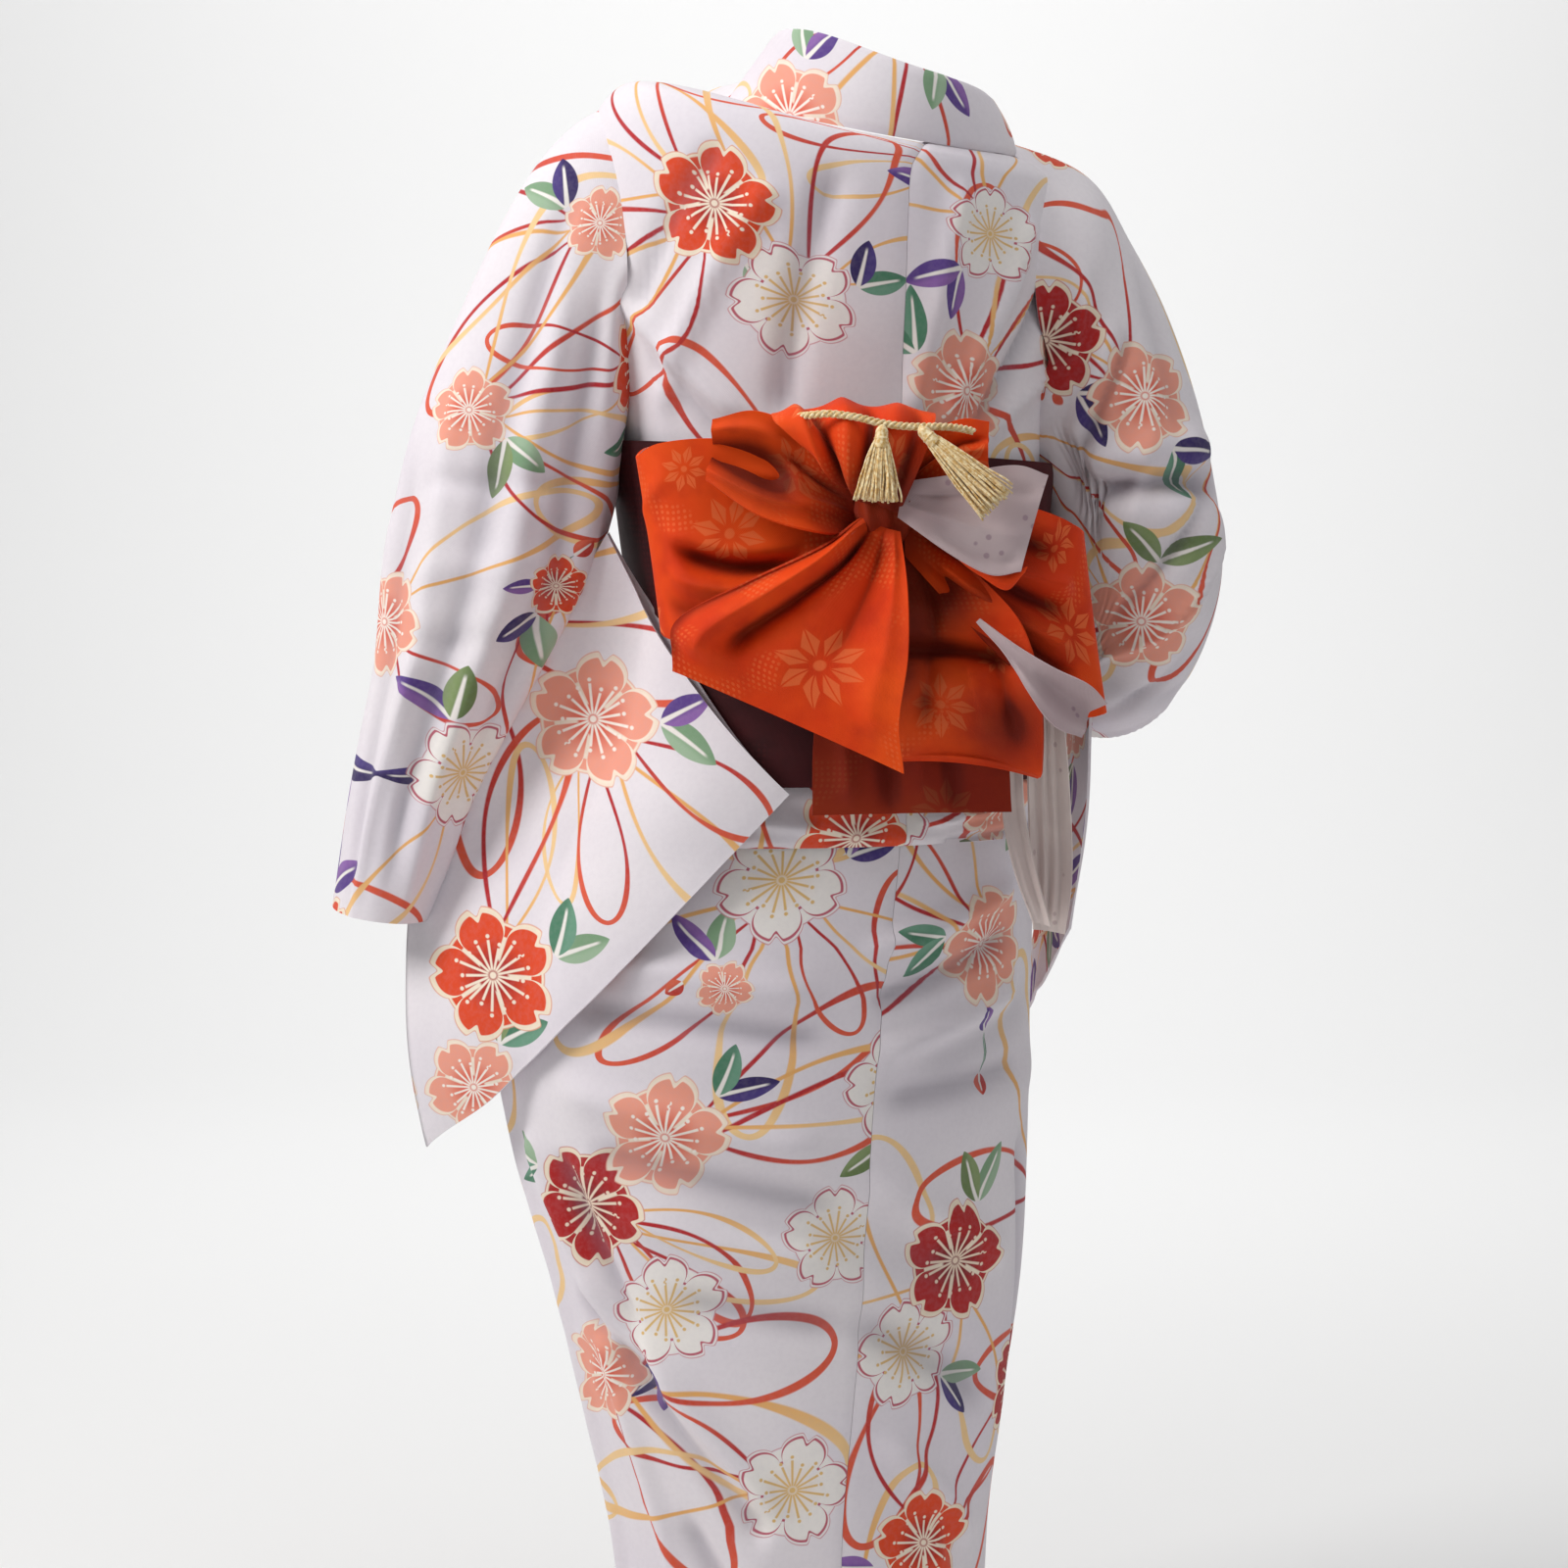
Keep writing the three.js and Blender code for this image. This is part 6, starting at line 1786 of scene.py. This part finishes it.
# Where the print's blossoms sit, as side and z seen from behind, then what addBlossom says of each
backPrint = table("piece side z size kind leaf way spread count", [
    ("bodice_left", 123, -51, 46, 1, 300, 200, 150, 5),
    ("bodice_left", 62, -118, 45, 4, 20, 70, 100, 3),
    ("bodice_right", -84, -67, 38, 4, 230, 120, 90, 3),
    ("bodice_right", -69, -184, 42, 3, 150, 60, 70, 3),
    ("collar", 68, 17, 42, 3, 350, 200, 60, 2),
    ("sleeve_arm_right", -124, -147, 42, 2, 280, 120, 60, 2),
    ("sleeve_arm_right", -209, -186, 40, 3, 270, 110, 70, 3),
    ("sleeve_arm_right", -205, -359, 42, 3, 80, 200, 70, 2),
    ("sleeve_arm_left", 302, -201, 30, 3, 340, 20, 150, 4),
    ("sleeve_arm_left", 308, -469, 40, 4, 120, 300, 120, 3),
    ("sleeve_arm_left", 236, -330, 22, 1, 260, 280, 60, 2),
    ("sleeve_arm_left", 205, -60, 26, 3, 200, 230, 120, 4),
    ("sleeve_bag_left", 212, -428, 46, 3, 0, 290, 110, 4),
    ("sleeve_bag_left", 284, -621, 46, 1, 20, 55, 75, 5),
    ("sleeve_bag_left", 306, -706, 36, 3, 60, 40, 60, 0),
    ("skirt_back_left", 68, -546, 46, 4, 20, 270, 130, 5),
    ("skirt_back_left", 111, -624, 20, 3, 110, 90, 40, 1),
    ("skirt_back_left", 156, -735, 45, 3, 40, 10, 60, 4),
    ("skirt_back_left", 214, -794, 47, 2, 150, 330, 60, 5),
    ("skirt_back_left", 158, -870, 42, 4, 250, 20, 60, 3),
    ("skirt_back_left", 205, -928, 38, 3, 330, 340, 80, 3),
    ("skirt_back_left", 62, -1010, 42, 4, 0, 150, 80, 3),
    ("skirt_back_right", -82, -601, 45, 3, 170, 160, 80, 4),
    ("skirt_back_right", -63, -841, 45, 2, 60, 250, 120, 3),
    ("skirt_back_right", -22, -911, 40, 4, 330, 60, 110, 3),
    ("skirt_back_right", -40, -1060, 40, 1, 200, 80, 110, 3),
])


budPrint = [("sleeve_arm_left", 252, -330, 70), ("skirt_back_right", -86, -668, 250),
            ("skirt_back_left", 112, -600, 200)]


def sideGrows(sheet, x, y):
    # whether the flat x grows to the wearer's left at that place
    far = (sheet.x - x)**2 + (sheet.y - y)**2
    i, j = np.unravel_index(np.argmin(far), far.shape)
    j = min(max(j, 1), sheet.x.shape[1] - 2)
    c, s = math.cos(poseTurn), math.sin(poseTurn)
    d = sheet.points[i, j + 1] - sheet.points[i, j - 1]
    return d[0] * c - d[1] * s > 0


def printSheet(sheet, seed):
    rng = random.Random(seed)
    clear = []
    for row in backPrint:
        if row["piece"] != sheet.name:
            continue
        found = sheet.find(row["side"], row["z"])
        if found is None:
            continue
        turned = sideGrows(sheet, *found)
        leaf, way = ((180 - row["leaf"], 180 - row["way"]) if turned else (row["leaf"], row["way"]))
        addBlossom(sheet, rng, *found, row["size"], row["kind"], leaf, way, row["spread"], row["count"])
        clear.append((*found, printLook["blossomRoom"]))
    for name, side, z, way in budPrint:
        if name == sheet.name and sheet.find(side, z):
            x, y = sheet.find(side, z)
            addBuds(sheet, rng, x, y, 180 - way if sideGrows(sheet, x, y) else way)
            clear.append((x, y, printLook["budRoom"]))
    scatterPrint(sheet, seed + 50, clear)


for panel in skirtPanels:
    sheet = skirtSheet(panel)
    printSheet(sheet, panel["seed"])
    finishSheet(sheet, [cotton, cottonBack], [panel["name"]])
for side, seed in (("left", 21), ("right", 22)):
    sheet = bodiceSheet(side)
    printSheet(sheet, seed)
    finishSheet(sheet, [cotton, cottonBack], [sheet.name])
print("skirt and bodice ready")

outside = bodySurface()
for side, seed in (("left", 31), ("right", 32)):
    arm, bag = armSheet(side, outside), bagSheet(side)
    printSheet(arm, seed)
    printSheet(bag, seed + 10)
    finishSheet(bag, [cotton, cottonBack], ["sleeve_" + side])
    finishSheet(arm, [cotton, cottonBack], ["sleeve_" + side])
sheet = collarSheet()
printSheet(sheet, 41)
finishSheet(sheet, [cotton, cottonBack], ["collar"])
print("sleeves and collar ready")

for name in obiTurns:
    finishSheet(obiSheet(name), [obiShade, obiShade], [name],
                [("bloomA", "bloom")])
for name, piece in {**bowPieces, **edges}.items():
    sheet = ribbonSheet(name, piece, obiCloth if name in bowPieces else 1.2)
    rng = random.Random(name)
    spots = [(*sheet.find(row["side"], row["z"]), row["size"]) for row in bowFlowers if row["piece"] == name]
    hidden = rng.uniform(0.45, 0.9) * sheet.y.min()
    for k in range(0 if name in edges else 4):
        spots.append((rng.uniform(sheet.x.min(), sheet.x.max()) * 0.7, hidden * (0.6 + 0.14 * k),
                      rng.choice([17, 22, 27])))
    for x, y, size in spots:
        addMotif(sheet, "bloom", x, y, size, turn=rng.uniform(0, 6.28), code=1.5)
    swap = piece.get("swap", False)
    finishSheet(sheet, [obiReverse, obiFace] if swap else [obiFace, obiReverse],
                [name] if name in bowPieces else [],
                [("bloomA", "bloom")])
finishSheet(knotSheet(), [obiFace, obiReverse], ["bow_knot"],
            [("bloomA", "bloom")])
for name, piece in ties.items():
    finishSheet(ribbonSheet(name, piece, cloth), [tieCloth, tieCloth], [name],
                [("bloomA", "bloom")])
print("obi, bow and ties ready")


# Studio
studio = {"floor": -1.25, "world": 0.25}


def makeStudio():
    away = np.array([math.sin(poseTurn), math.cos(poseTurn)])
    aside = np.array([away[1], -away[0]])
    bend = [(-3.7 - 2.0 * math.sin(a), 2.0 - 2.0 * math.cos(a)) for a in np.linspace(0.1, math.pi / 2, 14)]
    profile = [(7.0, 0.0), (-3.7, 0.0)] + bend + [(-5.7, 8.0)]
    verts, faces = [], []
    for run, up in profile:
        for across in (-9.0, 9.0):
            p = away * run + aside * across
            verts.append((p[0], p[1], studio["floor"] + up))
    for i in range(len(profile) - 1):
        faces.append((2 * i, 2 * i + 1, 2 * i + 3, 2 * i + 2))
    mesh = bpy.data.meshes.new("studioSweep")
    mesh.from_pydata(verts, [], faces)
    mesh.polygons.foreach_set("use_smooth", np.ones(len(faces), bool))
    material, _, shader = newMaterial("studioPale")
    shader.inputs["Base Color"].default_value = (0.86, 0.86, 0.86, 1)
    shader.inputs["Roughness"].default_value = 0.9
    mesh.materials.append(material)
    sweep = bpy.data.objects.new("studioSweep", mesh)
    bpy.context.scene.collection.objects.link(sweep)
    world = bpy.data.worlds.new("studioWorld")
    world.use_nodes = True
    world.node_tree.nodes["Background"].inputs[0].default_value = (1, 1, 1, 1)
    world.node_tree.nodes["Background"].inputs[1].default_value = studio["world"]
    bpy.context.scene.world = world


def areaLight(name, spot, power, size, tint=(1, 1, 1), aimAt=(40, 0, -480)):
    data = bpy.data.lights.new(name, "AREA")
    data.energy, data.size, data.color = power, size, tint
    light = bpy.data.objects.new(name, data)
    at = Vector(place(*spot).tolist())
    light.location = at
    aim = Vector(place(*aimAt).tolist())
    light.rotation_mode = "QUATERNION"
    light.rotation_quaternion = (aim - at).to_track_quat("-Z", "Y")
    bpy.context.scene.collection.objects.link(light)


makeStudio()
areaLight("keyLight", (2200, 1150, 1250), 62, 1.1, (1.0, 0.985, 0.965))
areaLight("fillLight", (-1900, 1900, 200), 6, 2.2, (0.95, 0.97, 1.0))
areaLight("wallLight", (0, -2600, 2700), 118, 2.8, aimAt=(40, -5800, -600))
areaLight("topLight", (-200, 500, 1900), 21, 2.0)
bpy.context.scene.view_settings.view_transform = "Standard"
print("studio ready")

bpy.context.view_layer.update()
